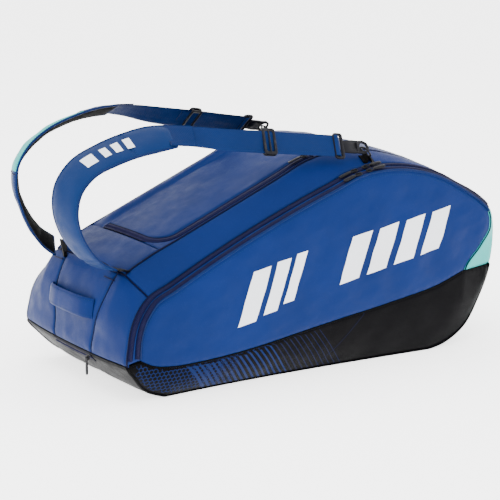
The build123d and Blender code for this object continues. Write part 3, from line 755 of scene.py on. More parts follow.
# rows of stitches: across or along the panel's length, distance from the border, which end
NEAR, FAR, FIRST, LAST = (0, 3.4, False), (0, 3.4, True), (1, 3.2, False), (1, 3.2, True)
CAP_NEAR, CAP_FAR = (0, 3.2, False), (0, 3.2, True)
for name, rows in {
        "cap_right": (CAP_FAR, CAP_NEAR), "cap_centre": (CAP_NEAR, CAP_FAR), "cap_left": (CAP_NEAR,),
        "gusset_right": (FAR, NEAR), "gusset_left": (NEAR, FAR),
        "top_head": (NEAR, FAR, (1, 4.0, False), (1, 8.0, False)), "top_narrow": (NEAR, FAR),
        "border_left": (FAR, (0, 6.6, True)), "accent": (FIRST, LAST),
        "head_low": (FIRST, NEAR, FAR), "underside": (LAST, NEAR, FAR)}.items():
    for axis, dist, end in rows:
        P, N = stay[name].line(axis, dist, end, 0.1)
        stitches(b, P, N, "thread_dark" if name in ("head_low", "underside") else "thread")
turn = np.linspace(0, math.pi / 2, 40)
zip_t = np.concatenate([np.linspace(LID_T1, 6.08, 90), 6.05 - 0.555 * np.sin(turn), np.full(30, 5.495)])
zip_v = np.concatenate([np.full(90, -0.905), -0.455 - 0.45 * np.cos(turn), np.linspace(-0.43, 0.60, 30)])
P, N = belt_line(zip_t, zip_v)
ribbon(b, P - N * 0.5, N, 10.5, "tape", thick=0.8, across=7)
ribbon(b, P, N, 5.6, "seam", thick=0.4, lift=0.25)
coil(b, P + N * 0.6, N)
for off in (-6.4, 6.4):
    tube(b, beside(P, N, off) + N * 0.2, 0.7, "seam")
P, N = across_belt(LID_T1 + 0.03, -0.98, 0.64, 60)
tube(b, P + N * 0.4, 1.3, "seam")
b.object("bag_band", "bag", "blue_fabric", (
    "base_panel", "narrow_underside", "head_lower_panel", "head_accent_panel", "end_cap_centre", "end_cap_right",
    "end_cap_left", "top_narrow_panel", "top_head_panel", "top_border_right", "top_border_left", "gusset_right",
    "gusset_left", "base_board", "pocket_zip", "zip_end_tabs"))

# ---- pocket lid
b = Build()
G = belt_grid(5.60, LID_T1 - 0.015, pocket_edge, LID_HINGE_Y / SEAM_AT, step_t=4.5, step_v=5.0)
lid = Panel(G, puff=1.8, borders=(1, 1, 1, 0), seed=14, wave=1.1, thick=3.5)
lid.mesh(b, "blue")
for axis, dist, end in ((0, 3.4, False), (1, 3.4, False), (1, 3.4, True), (1, 8.5, True)):
    stitches(b, *lid.line(axis, dist, end, 0.1))
lid_o = b.object("pocket_lid_cloth", None, "blue_fabric", ("pocket_lid",))
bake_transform(lid_o)

# ---- pocket lining
b = Build()
T = np.linspace(LID_T0 + 0.06, LID_T1 - 0.06, 50)
ends = np.minimum(1, np.minimum(np.arange(50), np.arange(50)[::-1]) / 4.0) ** 0.5
hollow = ((-93, 0), (-92.5, 8), (-91, 20), (-86, 30), (-60, 30), (0, 30), (50, 30), (68, 30), (72, 20), (73, 8),
          (73.5, 0))
G = np.zeros((len(T), len(hollow), 3))
for j, (y, deep) in enumerate(hollow):
    G[:, j] = belt(T, np.full(len(T), y / SEAM_AT))
    G[:, j, 2] -= 5.5 + deep * ends
pocket = Panel(G, thick=1.2, puff=0, roll=0, wave=0.8, pucker=0)
pocket.mesh(b, "lining")
b.object("pocket_lining", "bag", "lining", ("pocket_tray",))

# ---------------------------------------------------------------- side panels

SEAM_KEYS = [tuple(A_OF(0.0)[[0, 2]]), (-312, 61), (-275, 55), (-228, 55), (-134, 62), (-17, 79), (53, 89), (167, 105),
             (250, 120), tuple(A_OF(22.0)[[0, 2]])]
SEAM_LINE = open_spline([(x, 0, z) for x, z in SEAM_KEYS])(np.linspace(0, len(SEAM_KEYS) - 1, 300))
A_LINE = A_OF(np.linspace(0, 22, 500))
H0, H1 = A_OF(0.0), A_OF(19.0)


def chord_z(x):
    return H0[2] + (x - H0[0]) * (H1[2] - H0[2]) / (H1[0] - H0[0])


def distance(x, z, line):
    """Distance of each point to a polyline in the x, z plane."""
    a, c = line[:-1, [0, 2]], line[1:, [0, 2]]
    ab = c - a
    p = np.stack([x.ravel(), z.ravel()], axis=1)
    best = np.full(len(p), 1e9)
    for i in range(0, len(p), 2000):
        q = p[i:i + 2000, None] - a[None]
        k = np.clip((q * ab[None]).sum(2) / np.maximum((ab * ab).sum(1), 1e-9), 0, 1)
        best[i:i + 2000] = np.linalg.norm(q - k[..., None] * ab[None], axis=2).min(1)
    return best.reshape(x.shape)


def side_y(x, z):
    """The side cloth: rolled in at the zip and the seam, bellied between them, softly creased."""
    d1, d2 = distance(x, z, A_LINE), distance(x, z, SEAM_LINE)
    near = np.minimum(d1, d2)
    P = np.stack([x, np.zeros_like(x), z], axis=-1)
    y = 174.6 + 3.4 * (1 - np.exp(-near / 3.0)) + 1.6 * (1 - np.exp(-near / 16.0))
    y = y + 9.0 * (1 - np.exp(-d1 / 70.0)) * (1 - np.exp(-d2 / 55.0))
    y = y + 0.9 * wrinkle(P, (1.0, 0.5, 0.1), 2.0) * (1 - np.exp(-(near / 14.0) ** 2))
    fade = np.exp(-(near / 8.0) ** 2) * (1 - np.exp(-(near / 2.0) ** 2))
    return -(y + 0.35 * fade * np.sin((x + 0.6 * z) * 2 * math.pi / 12.0))


def side_normals(X, Z):
    e = 1.0
    gx = (side_y(X + e, Z) - side_y(X - e, Z)) / (2 * e)
    gz = (side_y(X, Z + e) - side_y(X, Z - e)) / (2 * e)
    return unit(np.stack([gx, -np.ones_like(gx), gz], axis=-1))


def on_side(X, Z):
    """Places and outward normals of the side cloth."""
    return np.stack([X, side_y(X, Z), Z], axis=-1), side_normals(X, Z)


def side_grid(low, high, rows):
    """Grid from the low line to the high line, each given as x, z points of equal count."""
    k = np.asarray(rows)[None, :]
    X = low[:, [0]] * (1 - k) + high[:, [0]] * k
    Z = low[:, [1]] * (1 - k) + high[:, [1]] * k
    return X, Z


def cloth_side(name, grid, node, side):
    """One half of a side panel, cut at the fold line."""
    X, Z = grid
    outer, N = on_side(X, Z)
    nu, nv = X.shape
    st = np.stack([X, Z, np.zeros_like(X)], axis=-1).reshape(-1, 3)
    m = (1, -side, 1)
    co = np.concatenate([(outer * m).reshape(-1, 3), ((outer - N * 3.6) * m).reshape(-1, 3)])
    flip = side > 0
    faces = quads(nu, nv, flip=flip) + quads(nu, nv, base=nu * nv, flip=not flip)
    loop = [i * nv for i in range(nu)] + [(nu - 1) * nv + j for j in range(1, nv)]
    loop += [i * nv + nv - 1 for i in range(nu - 2, -1, -1)] + list(range(nv - 2, 0, -1))
    for a, c in zip(loop, loop[1:] + loop[:1]):
        f = [c, a, a + nu * nv, c + nu * nv]
        faces.append(f[::-1] if flip else f)
    half = (nu - 1) * (nv - 1)
    face_mats = [0] * half + [1] * half + [0] * (len(faces) - 2 * half)
    o = add_mesh(name, co, faces, ["blue", "lining"], np.concatenate([st, st]), face_mats)
    out = (N * m).reshape(-1, 3)
    o.data.normals_split_custom_set_from_vertices(np.concatenate([out, -out]).tolist())
    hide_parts(node)
    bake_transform(o)


def decal(b, surface, quad, mat, lift=0.45, cell=5.0):
    """A printed shape, following the cloth: quad is four x, z corners in order."""
    q = np.array(quad, float)
    e, g = q[1] - q[0], q[3] - q[0]
    nu, nv = (max(2, int(np.linalg.norm(k) / cell) + 2) for k in (e, g))
    a, c = np.linspace(0, 1, nu)[:, None, None], np.linspace(0, 1, nv)[None, :, None]
    G = (q[0] * (1 - a) + q[1] * a) * (1 - c) + (q[3] * (1 - a) + q[2] * a) * c
    P, N = surface(G[..., 0], G[..., 1])
    st = np.concatenate([G, np.zeros(G.shape[:2] + (1,))], axis=-1)
    b.add(P + N * lift, quads(nu, nv, flip=e[0] * g[1] <= e[1] * g[0]), mat, st)


s_line = A_OF(np.linspace(0.004, 18.996, 900))
s_len = run(s_line)
at = ticks(s_len[-1], 5.0) * s_len[-1]
top_x, top_z = np.interp(at, s_len, s_line[:, 0]), np.interp(at, s_len, s_line[:, 2])
rows_up = np.concatenate([np.linspace(0, 0.9, 22), 1 - np.array([0.075, 0.055, 0.04, 0.028, 0.018, 0.010, 0.004, 0])])
COVER = side_grid(np.column_stack([top_x, chord_z(top_x)]), np.column_stack([top_x, top_z]), rows_up)
seam_xz = SEAM_LINE[::3, [0, 2]]
low_pts = np.concatenate([seam_xz, A_OF(np.linspace(22, 19, 26)[1:-1])[:, [0, 2]]])[1:]
high_x = np.concatenate([seam_xz[:, 0], np.linspace(seam_xz[-1, 0], H1[0], 26)[1:-1]])[1:]
rows_low = np.concatenate([[0, 0.006, 0.015, 0.027, 0.042, 0.06, 0.085, 0.12], np.linspace(0.16, 1, 20)])
LOWER = side_grid(low_pts, np.column_stack([high_x, chord_z(high_x)]), rows_low)

MOTIF = []
BAR_LEAN, BAR_SLOPE = 0.34, 0.18
for x0, z0, w, h in ((-160, 104, 34, 88), (-112, 118, 26, 84), (-74, 132, 20, 80), (36, 150, 40, 78),
                     (92, 160, 40, 76), (148, 170, 40, 74), (204, 180, 40, 72)):
    low_bar, lean = [(x0, z0), (x0 + w, z0 + w * BAR_SLOPE)], h * BAR_LEAN
    MOTIF.append(low_bar + [(x + lean, z + h) for x, z in low_bar[::-1]])


def at_fold(p, q):
    """Where the line from p to q crosses the fold line, or its nearer end."""
    k = np.clip((chord_z(p[0]) - p[1]) / ((q[1] - p[1]) - (chord_z(q[0]) - chord_z(p[0]))), 0, 1)
    return p[0] + (q[0] - p[0]) * k, p[1] + (q[1] - p[1]) * k


for side, name in ((-1, "right"), (1, "left")):
    m = np.array([1, -side, 1])
    cloth_side("side_cover_cloth_" + name, COVER, "side_cover_" + name, side)
    cloth_side("side_lower_cloth_" + name, LOWER, "side_lower_" + name, side)

    def printed(what):
        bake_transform(b.object(f"side_{what}_{name}", None, "blue_fabric", flip=side > 0))

    # rolled rim and stitches of the cover, seams and stitches of the fixed part
    b = Build()
    tube(b, A_OF(np.linspace(0.15, 18.9, 260)) + np.array([0, 1.2, 0]), 2.2, "rim", up=(0, 1, 0))
    for dist, skip in ((9.0, 6), (3.6, 4)):
        P, N = inset(*on_side(*COVER), 0, dist, True, 0.1)
        stitches(b, P[skip:-skip], N[skip:-skip])
    printed("cover_trim")
    b = Build()
    P, N = inset(*on_side(*LOWER), 0, 3.4, False, 0.1)
    stitches(b, P[3:-3], N[3:-3])
    tube(b, A_OF(np.linspace(19.0, 22, 60)) + np.array([0, 1.6, 0]), 1.2, "seam", up=(0, 1, 0))
    tube(b, SEAM_LINE[::4] - np.array([0, 176, 0]), 1.3, "black", up=(0, 1, 0))
    printed("lower_trim")
    # printed bars, cut at the fold line
    for part in ("cover", "lower"):
        b = Build()
        for a, c, d, e in MOTIF:
            left, right = at_fold(a, e), at_fold(c, d)
            quad = [left, right, d, e] if part == "cover" else [a, c, right, left]
            if abs(quad[3][1] - quad[0][1]) > 1.5:
                decal(b, on_side, quad, "white")
        printed("print_" + part)

# ---- black lower side panels with their print
black_top = np.concatenate([[B_OF(0.0)], SEAM_LINE[::2] * (1, 0, 1) + (0, -SIDE + 2.4, 0), [B_OF(22.0)]])
bt = B_OF(np.linspace(30, 22, 400))
bt[:, 2] = np.maximum(bt[:, 2], 0)
bt = bt[np.argsort(bt[:, 0])]
blen = run(bt)
bs = ticks(blen[-1], 5.0) * blen[-1]
bx = np.interp(bs, blen, bt[:, 0])
keep = np.concatenate([[True], np.diff(bx) > 0.05])
bx, bs = bx[keep], bs[keep]
low3 = np.column_stack([bx] + [np.interp(bs, blen, bt[:, c]) for c in (1, 2)])
top3 = np.column_stack([bx] + [np.interp(bx, black_top[:, 0], black_top[:, c]) for c in (1, 2)])
kv = ticks(70, 4.0)[None, :, None]
G = low3[:, None] * (1 - kv) + top3[:, None] * kv
G[..., 1] -= 5.0 * np.sin(kv[..., 0] * math.pi) * smooth(top3[:, 2] - low3[:, 2], 5, 50)[:, None]
black = Panel(G, thick=3.6, puff=1.6, seed=15, wave=0.8, borders=(0, 0, 1, 1))


def on_black(X, Z):
    """Places and outward normals of the black panel."""
    P, N = np.zeros(X.shape + (3,)), np.zeros(X.shape + (3,))
    for idx in np.ndindex(X.shape):
        r = float(np.clip(np.interp(X[idx], bx, np.arange(len(bx))), 0, len(bx) - 1.001))
        i, f = int(r), r - int(r)
        col = black.outer[i] * (1 - f) + black.outer[i + 1] * f
        nor = black.N[i] * (1 - f) + black.N[i + 1] * f
        P[idx] = [np.interp(Z[idx], col[:, 2], col[:, c]) for c in range(3)]
        N[idx] = [np.interp(Z[idx], col[:, 2], nor[:, c]) for c in range(3)]
    return P, N


def black_limits(x):
    """Lowest and highest print on the black panel."""
    r = float(np.interp(x, bx, np.arange(len(bx))))
    i = int(min(r, len(bx) - 2))
    return black.outer[i, :, 2].min() + 2.5, black.outer[i, :, 2].max() - 2.5


PRINT = []
for row in range(13):
    for k in range(24):
        cx, cz = -338 + k * 7.8 + (row % 2) * 3.9, 1 + row * 6.4
        rings = [[(cx + r * math.cos(math.radians(60 * i + 30)), cz + r * math.sin(math.radians(60 * i + 30)))
                  for i in range(7)] for r in (4.25, 3.45)]
        for i in range(6):
            PRINT.append((rings[0][i:i + 2] + rings[1][i:i + 2][::-1], "print" if k < 20 else "print_dim"))
for k in range(26):
    x0, wide = -208 + k * 11.0, 6.4 - k * 0.18
    bar = [(x0, 3), (x0 + wide, 3), (x0 + wide - 74, 88), (x0 - 74, 88)]
    PRINT.append((bar, "print" if k < 16 else "print_dim"))
PRINT.append(([(18, 6), (19.4, 6), (96, 92), (94.6, 92)], "print_dim"))
CUTS = 10

for side, name in ((-1, "right"), (1, "left")):
    b = Build()
    black.mesh(b, "black")
    stitches(b, *black.line(0, 3.2, True, 0.1), "thread_dark")
    for quad, mat in PRINT:
        q = np.array(quad)
        if abs(q[2, 1] - q[1, 1]) > 40:
            # a long bar is laid in short cuts, so that it ends at the panel's borders
            for i in range(CUTS):
                f0, f1 = i / CUTS, (i + 1) / CUTS
                part = np.array([q[0] * (1 - f0) + q[3] * f0, q[1] * (1 - f0) + q[2] * f0,
                                 q[1] * (1 - f1) + q[2] * f1, q[0] * (1 - f1) + q[3] * f1])
                lim = np.array([black_limits(x) for x in part[:, 0]])
                part[:, 1] = np.clip(part[:, 1], lim[:, 0], lim[:, 1])
                if np.ptp(part[:, 1]) > 0.6:
                    decal(b, on_black, part, mat, lift=0.25, cell=9)
            continue
        lim = np.array([black_limits(x) for x in q[:, 0]])
        if (q[:, 1] > lim[:, 0]).all() and (q[:, 1] < lim[:, 1]).all():
            decal(b, on_black, q, mat, lift=0.25, cell=9)
    b.object("black_side_cloth_" + name, "bag", "black_fabric", ("black_side_" + name,), flip=side > 0)

# ---------------------------------------------------------------- zip strips and inner walls

STRIP_MAIN, STRIP_SIDE = 0.24, 0.76
for side, name in ((-1, "right"), (1, "left")):
    b = Build()
    G = belt_grid(0.12, 18.85, -3.0, -2.0, step_t=4.5, step_v=3.0)
    strip = Panel(G, thick=3.2, puff=0.9, roll=1.2, wave=0.35, pucker=0.2, seed=16)
    strip.mesh(b, "blue")
    for share, tape_w in ((STRIP_MAIN, 7.0), (STRIP_SIDE, 6.8)):
        P, N = belt_line(np.linspace(0.3, 18.7, 420), np.full(420, -2.0 - share))
        P = P + N * 0.9
        ribbon(b, P, N, tape_w, "tape", thick=0.6, lift=-0.1, across=7)
        ribbon(b, P, N, 4.6, "seam", thick=0.3, lift=0.6)
        coil(b, P + N * 0.9, N)
        for off in (-tape_w / 2 - 0.2, tape_w / 2 + 0.2):
            tube(b, beside(P, N, off) + N * 0.1, 0.75, "seam", sides=6, step=4)
    b.object("zip_strip_cloth_" + name, "leaf_" + name, "blue_fabric",
             ("zip_strip_" + name, "main_zip_" + name, "side_zip_" + name), flip=side > 0)
    # the inner wall
    b = Build()
    inside = B_OF(np.linspace(4.0, 18.0, 90))
    along = np.gradient(inside, axis=0)
    nrm = unit(np.column_stack([-along[:, 2], np.zeros(90), along[:, 0]]))
    rows = []
    for y, h in ((-165, -10.5), (-160, -15), (-152, -26), (-144, -38), (-139.5, -50)):
        p = inside + nrm * h
        p[:, 1] = y
        rows.append(p)
    last = rows[-1]
    floor_z = chord_z(last[:, 0]) + 18
    for f in (0.2, 0.4, 0.6, 0.8, 1.0):
        p = last.copy()
        p[:, 2] = np.minimum(last[:, 2], last[:, 2] * (1 - f) + floor_z * f)
        rows.append(p)
    wall = Panel(np.stack(rows, axis=1)[:, ::-1], thick=1.8, puff=0, roll=0, wave=0.9, pucker=0, seed=17)
    wall.mesh(b, "lining")
    b.object("divider_cloth_" + name, "leaf_" + name, "lining", ("divider_" + name,), flip=side > 0)

# ---------------------------------------------------------------- shoulder straps

PAD_RIGHT = [(-349, -100, 209, 4, 58), (-376, -100, 224, 5, 60), (-398, -99, 248, 6, 62), (-412, -97, 275, 8, 62),
             (-418, -95, 308, 10, 64), (-412, -95, 340, 14, 64), (-390, -97, 368, 18, 64), (-346, -100, 389, 22, 64),
             (-308, -105, 401, 26, 62), (-272, -110, 408, 32, 58), (-238, -115, 411, 38, 46)]
WEB_RIGHT = [(-235.5, -115.4, 410.8, 40, 38), (-200, -120.5, 407.6, 52, 38), (-160, -126, 401.6, 60, 38),
             (50, -144.5, 375.4, 60, 38)]
PAD_LEFT = [(-348, 91, 210, 30, 58), (-368, 94, 226, 28, 60), (-388, 97, 254, 26, 62), (-402, 100, 286, 24, 62),
            (-411, 100, 318, 22, 64), (-409, 100, 346, 21, 64), (-393, 100, 373, 21, 64), (-358, 100, 399, 21, 64),
            (-316, 100, 415, 21, 62), (-270, 105, 424, 22, 58), (-226, 110, 426, 26, 46)]
WEB_LEFT = [(-223.5, 110.4, 425.8, 28, 38), (-190, 114, 421, 38, 38), (-150, 119, 412, 50, 38),
            (50, 148, 376, 50, 38)]
BASES = {"right": (-331, -100, 205), "left": (-330, 88, 204)}
STRAPS = (("right", 1, PAD_RIGHT, WEB_RIGHT), ("left", -1, PAD_LEFT, WEB_LEFT))
BUCKLE_SHARE = {"right": 0.43, "left": 0.45}
HOOK_EYE = np.array([56.0, 0.0])


def strap_frame(keys, side, step=3.0):
    """Even samples along a strap: places, width and thickness vectors, widths, length so far."""
    f = open_spline(keys)
    t = np.linspace(0, len(keys) - 1, 600)
    s = run(f(t)[:, :3])
    n = int(s[-1] / step) + 1
    P = f(np.interp(np.linspace(0, s[-1], n), s, t))
    C = P[:, :3]
    T = tangents(C)
    out = unit(np.cross(T, (0, 1, 0)))
    over = np.cross(out, T)
    r = (np.radians(P[:, 3]) * side)[:, None]
    W, N = over * np.cos(r) + out * np.sin(r), out * np.cos(r) - over * np.sin(r)
    return C, W, N, P[:, 4], np.linspace(0, s[-1], n)


def webbing(b, keys, side, mat="web", thick=1.9, lift=0.0, width=None):
    """A woven strap with rounded selvedges."""
    C, W, N, widths, s = strap_frame(keys, side)
    half = (widths if width is None else np.full(len(C), width)) / 2
    v = np.linspace(-1, 1, 13)
    edge = np.sqrt(np.clip(1 - np.abs(v) ** 8, 0, 1)) * 0.5 * thick
    edge = (edge + 0.12 * np.cos(v * 2.5 * math.pi) * (edge > 0.2))[None, :, None]
    sway = 0.25 * np.sin(s / 21.0)[:, None]
    mid = C[:, None] + W[:, None] * (v[None] * half[:, None])[..., None] + N[:, None] * (lift + sway)[..., None]
    ring = np.concatenate([mid + N[:, None] * edge, (mid - N[:, None] * edge)[:, ::-1]], axis=1)
    m = ring.shape[1]
    st = np.stack([np.repeat(s[:, None], m, 1), np.concatenate([v, v[::-1]])[None] * half[:, None],
                   np.zeros((len(s), m))], axis=-1)
    b.add(ring, sleeve(len(C), m, caps=1), mat, st)


def pad_crease(P, v, side):
    return (0.7 * wrinkle(P, (0.9, 0.6, 0.2), side) * (1 - np.abs(v) ** 4))[..., None]


def pad(keys, side, band=None):
    """A padded strap: crowned outer cloth, mesh inside, bound edges and cross seams."""
    b = Build()
    C, W, N, width, s = strap_frame(keys, side, step=4.0)
    k = 1 - np.array([0, 0.02, 0.05, 0.09, 0.15, 0.24, 0.36, 0.5])
    v = np.concatenate([-k, [-0.34, -0.17, 0, 0.17, 0.34], k[::-1]])
    seams = (34.0, s[-1] - 76.0)
    ends = np.minimum(1, np.minimum(s, s[-1] - s) / 16.0) ** 0.5
    dips = sum(2.0 * np.exp(-((s - q) / 3.2) ** 2) for q in seams)[:, None] * (1 - np.abs(v) ** 6)[None]
    st = np.stack([np.repeat(s[:, None], len(v), 1), v[None] * width[:, None] / 2, np.zeros((len(s), len(v)))],
                  axis=-1)
    for sign, mat, height in ((1, "pad", 4.9), (-1, "black_soft", 4.4)):
        crown = (1 - np.abs(v) ** 3.2)[None] * height * ends[:, None]
        P = C[:, None] + W[:, None] * (v[None] * width[:, None] / 2)[..., None]
        P = P + N[:, None] * (sign * np.maximum(crown + 0.7 - dips, 0.4))[..., None]
        P = P + N[:, None] * pad_crease(P, v[None], side)
        faces = quads(len(s), len(v), flip=sign > 0)
        if sign < 0:
            b.add(P, faces, mat, st)
            continue
        in_band = [bool(band) and band[0] <= s[i // (len(v) - 1)] <= band[1] for i in range(len(faces))]
        b.add(P, [f for f, inside in zip(faces, in_band) if not inside], mat, st)
        if band:
            b.add(P, [f for f, inside in zip(faces, in_band) if inside], "turquoise", st)
            for q in band:
                tube(b, P[int(np.argmin(np.abs(s - q)))], 0.9, "seam")
        for j in (3, len(v) - 4):
            stitches(b, P[2:-2, j] + N[2:-2] * 0.15, N[2:-2])
        for q in seams:
            for off in (-4, 4):
                i = int(np.argmin(np.abs(s - q - off)))
                stitches(b, P[i, 3:-3] + N[i] * 0.2, np.repeat(N[[i]], len(v) - 6, 0))
    for e in (-1, 1):
        tube(b, C + W * (e * width / 2)[:, None], 1.9, "rim", step=4)
    for i in (0, -1):
        tube(b, np.array([C[i] - W[i] * width[i] / 2, C[i] + W[i] * width[i] / 2]), 1.9, "rim", step=4)
    return b, C, W, N, width, s


def seen_from(points, centre, n=24):
    """The outline at n even angles about a centre inside it."""
    out = []
    for t in np.arange(n) * 2 * math.pi / n + 0.01:
        d = np.array([math.cos(t), math.sin(t)])
        best = 1e9
        for p, q in zip(points, np.roll(points, -1, 0)):
            e, w = q - p, p - centre
            den = d[0] * e[1] - d[1] * e[0]
            if abs(den) < 1e-9:
                continue
            along = (w[0] * e[1] - w[1] * e[0]) / den
            share = (w[0] * d[1] - w[1] * d[0]) / den
            if along > 0 and -1e-6 <= share <= 1 + 1e-6:
                best = min(best, along)
        out.append(centre + d * best)
    return np.array(out)


HOOK = seen_from(np.array([(17, -13), (17, 13), (46, 11), (56, 12), (64, 8.5), (67.5, 0), (64, -8.5), (56, -12),
                           (46, -11)], float), HOOK_EYE)

for name, side, pad_keys, web_keys in STRAPS:
    b, C, W, N, width, s = pad(pad_keys, side, (150.0, 300.0) if name == "left" else None)
    if name == "right":
        # printed bars
        for s0, w in ((205, 20), (236, 14), (256, 14), (276, 14)):
            i0, i1 = (int(np.argmin(np.abs(s - at))) for at in (s0, s0 + w))
            idx = np.arange(i0, i1 + 1)
            v = np.linspace(-12, 12, 7)
            share = v[None] / (width[idx, None] / 2)
            P = C[idx, None] + W[idx, None] * v[None, :, None]
            P = P + N[idx, None] * ((1 - np.abs(share) ** 3.2) * 4.9 + 1.25)[..., None]
            P = P + N[idx, None] * pad_crease(P, 0.0, side)
            b.add(P, quads(len(idx), 7, flip=True), "white", P * 0.5)
    o = b.object("strap_pad_cloth_" + name, "strap_" + name, "strap_foam", ("strap_pad_" + name,))
    b = Build()
    webbing(b, web_keys, side)
    # cover over the joint of pad and webbing
    last_pad, second = np.array(pad_keys[-1][:4], float), np.array(web_keys[1][:4], float)
    webbing(b, [tuple(last_pad * (1 - k) + second * k) + (46 - 8 * k,) for k in (-0.25, 0.1, 0.5, 0.95)], side,
            thick=1.6, lift=1.9)
    # doubled layer from the ladder buckle to the hook, and the loose tail
    share = BUCKLE_SHARE[name]
    third, last = np.array(web_keys[-2], float), np.array(web_keys[-1], float)
    webbing(b, [tuple(third + (last - third) * (share + (1 - share) * k)) for k in (-0.28, 0.02, 0.5, 1.0)], side,
            thick=1.7, lift=-2.1, width=36.5)
    C, W, N, _, _ = strap_frame([tuple(third), tuple((third + last) / 2), tuple(last)], side)
    for off in (-14, 14):
        stitches(b, C[6:-4] + W[6:-4] * off + N[6:-4] * 1.05, N[6:-4], "thread", 2.6, 1.6, 0.3)
    straight, w_dir, end = unit(last[:3] - third[:3]), W[-1], last[:3]
    z_dir = unit(np.cross(straight, w_dir))
    # fold of webbing round the hook's bar
    arc = np.array([end + straight * (5.5 + 4.2 * math.cos(a)) + z_dir * (3.4 * math.sin(a))
                    for a in np.linspace(-2.4, 2.4, 15)])
    rows = np.stack([arc + w_dir * y for y in np.linspace(-18, 18, 9)], axis=1)
    Panel(rows, thick=1.6, puff=0, roll=0, wave=0, pucker=0).mesh(b, "web", "web")
    b.object("strap_webbing_cloth_" + name, "strap_" + name, "webbing", ("strap_webbing_" + name,))
    # hook
    b = Build()
    plate(b, rounded(18, 46, 5), 4.4, frame_at(end + straight * 10.0, straight, z_dir), 1.4, rounded(8.6, 39, 2))
    place = frame_at(end + straight, straight, z_dir)
    plate(b, HOOK, 3.6, place, 0.9, HOOK_EYE + circle(7.6, 7.6))
    wire(b, place, [(44.0, y, 1.8) for y in (-8, 0, 8)], 1.2, step=2)
    b.object("strap_hook_metal_" + name, "strap_" + name, "hardware", ("strap_hook_" + name,))
    # ladder buckle
    b = Build()
    place = frame_at(third[:3] + (last[:3] - third[:3]) * share, straight, z_dir)
    for thick, rise in ((2.6, 2.9), (2.4, -3.8)):
        plate(b, rounded(24, 46, 5), thick, place, 0.9, rounded(15, 36, 3), rise)
    for y in (-21.3, 21.3):
        for x in (-9, 9):
            wire(b, place, [(x, y, 2.6), (x, y, -3.4)], 1.7, step=1)
    wire(b, place, [(0, y, 3.3) for y in (-19, 19)], 1.6)
    b.object("tri_glide_metal_" + name, "tri_glide_" + name, "hardware", ("tri_glide_" + name,))

# ---- strap bases, ring tabs and rings
b = Build()
for name, side, pad_keys, _ in STRAPS:
    base, first = np.array(BASES[name], float), np.array(pad_keys[0][:3], float)
    webbing(b, [tuple(base + (first - base) * k) + (pad_keys[0][3], 50) for k in (-0.5, -0.2, 0.05, 0.28)], side,
            "black", thick=3.0)
    for t in (3.62, 3.95):
        P, N = across_belt(t, -0.62 * side, -0.89 * side, 24)
        tube(b, P + N * 2.2, 0.9, "seam")
        stitches(b, P + N * 2.4, N, "thread_dark")
b.object("strap_base_cloth", "bag", "black_fabric", ("strap_bases",))
b, r = Build(), Build()
lean = np.array([0.6, 0, -0.8])
for _, side, _, web_keys in STRAPS:
    third, last = np.array(web_keys[-2][:3], float), np.array(web_keys[-1][:3], float)
    top = last + unit(last - third) * 57.0
    loop = []
    for a in np.linspace(0, 2 * math.pi, 41):
        x, y = math.cos(a), math.sin(a)
        loop.append(top + lean * (9.4 - 9.2 * np.sign(y) * abs(y) ** 0.7)
                    + np.array([0, 9.9 * np.sign(x) * abs(x) ** 0.55, 0]))
    tube(r, loop, 1.6, "metal", sides=10, step=1.6, closed=True)
    foot = top + lean * 18.8
    y_mid = foot[1] + 3.0 * side
    deck = PEAK_C[1] + math.sqrt(PEAK_R ** 2 - (foot[0] - PEAK_C[0]) ** 2)
    deck += float(np.interp(foot[0], (90, 190), (27, 10))) * (157 - abs(y_mid)) / 39
    pts = np.array([(-12, deck + 4.4), (-5, deck + 3.6), (-3.6, foot[2] - 1), (-2, foot[2] + 2.6),
                    (1.4, foot[2] + 2.4), (3.2, foot[2] - 1), (5, deck + 3.0), (12, deck + 1.6)])
    rows = np.stack([np.column_stack([foot[0] + pts[:, 0], np.full(8, y_mid + y), pts[:, 1] + 0.62 * side * y])
                     for y in np.linspace(-8, 8, 7)], axis=1)
    Panel(rows, thick=1.6, puff=0, roll=0, wave=0, pucker=0).mesh(b, "black", "black")
b.object("ring_tab_cloth", "bag", "black_fabric", ("ring_tabs",))
r.object("ring_metal", "bag", "hardware", ("d_rings",))

# ---------------------------------------------------------------- grab handle
b = Build()
half_path = [(-361, -72, 138), (-365.5, -67, 139), (-371.5, -56, 140), (-375, -40, 140.5), (-376.3, -15, 140.5)]
C = open_spline(half_path + [(x, -y, z) for x, y, z in half_path[::-1]])(np.linspace(0, 9, 60))
up = np.array([0.16, 0, 0.987])
OUT = unit(np.cross(up, tangents(C)))
v = np.array([-1, -0.97, -0.9, -0.75, -0.5, -0.25, 0, 0.25, 0.5, 0.75, 0.9, 0.97, 1])
HALF_WIDTH = 16.5
middle = C[:, None] + up * (v * HALF_WIDTH)[None, :, None]
thick = OUT[:, None] * (2.6 * (1 - np.abs(v) ** 6) + 0.4)[None, :, None]
ring = np.concatenate([middle + thick, (middle - thick)[:, ::-1]], axis=1)
m = ring.shape[1]
st = np.stack([np.repeat(run(C)[:, None], m, 1),
               np.repeat(np.concatenate([v, v[::-1]])[None] * HALF_WIDTH, len(C), 0), np.zeros((len(C), m))], axis=-1)
b.add(ring, sleeve(len(C), m, True), "blue", st)
for off in (-12.5, 12.5):
    stitches(b, C[2:-2] + up * off + OUT[2:-2] * 2.9, OUT[2:-2])
b.object("grab_handle_cloth", "handle", "webbing", ("grab_handle",))

# ---------------------------------------------------------------- zip sliders and pullers


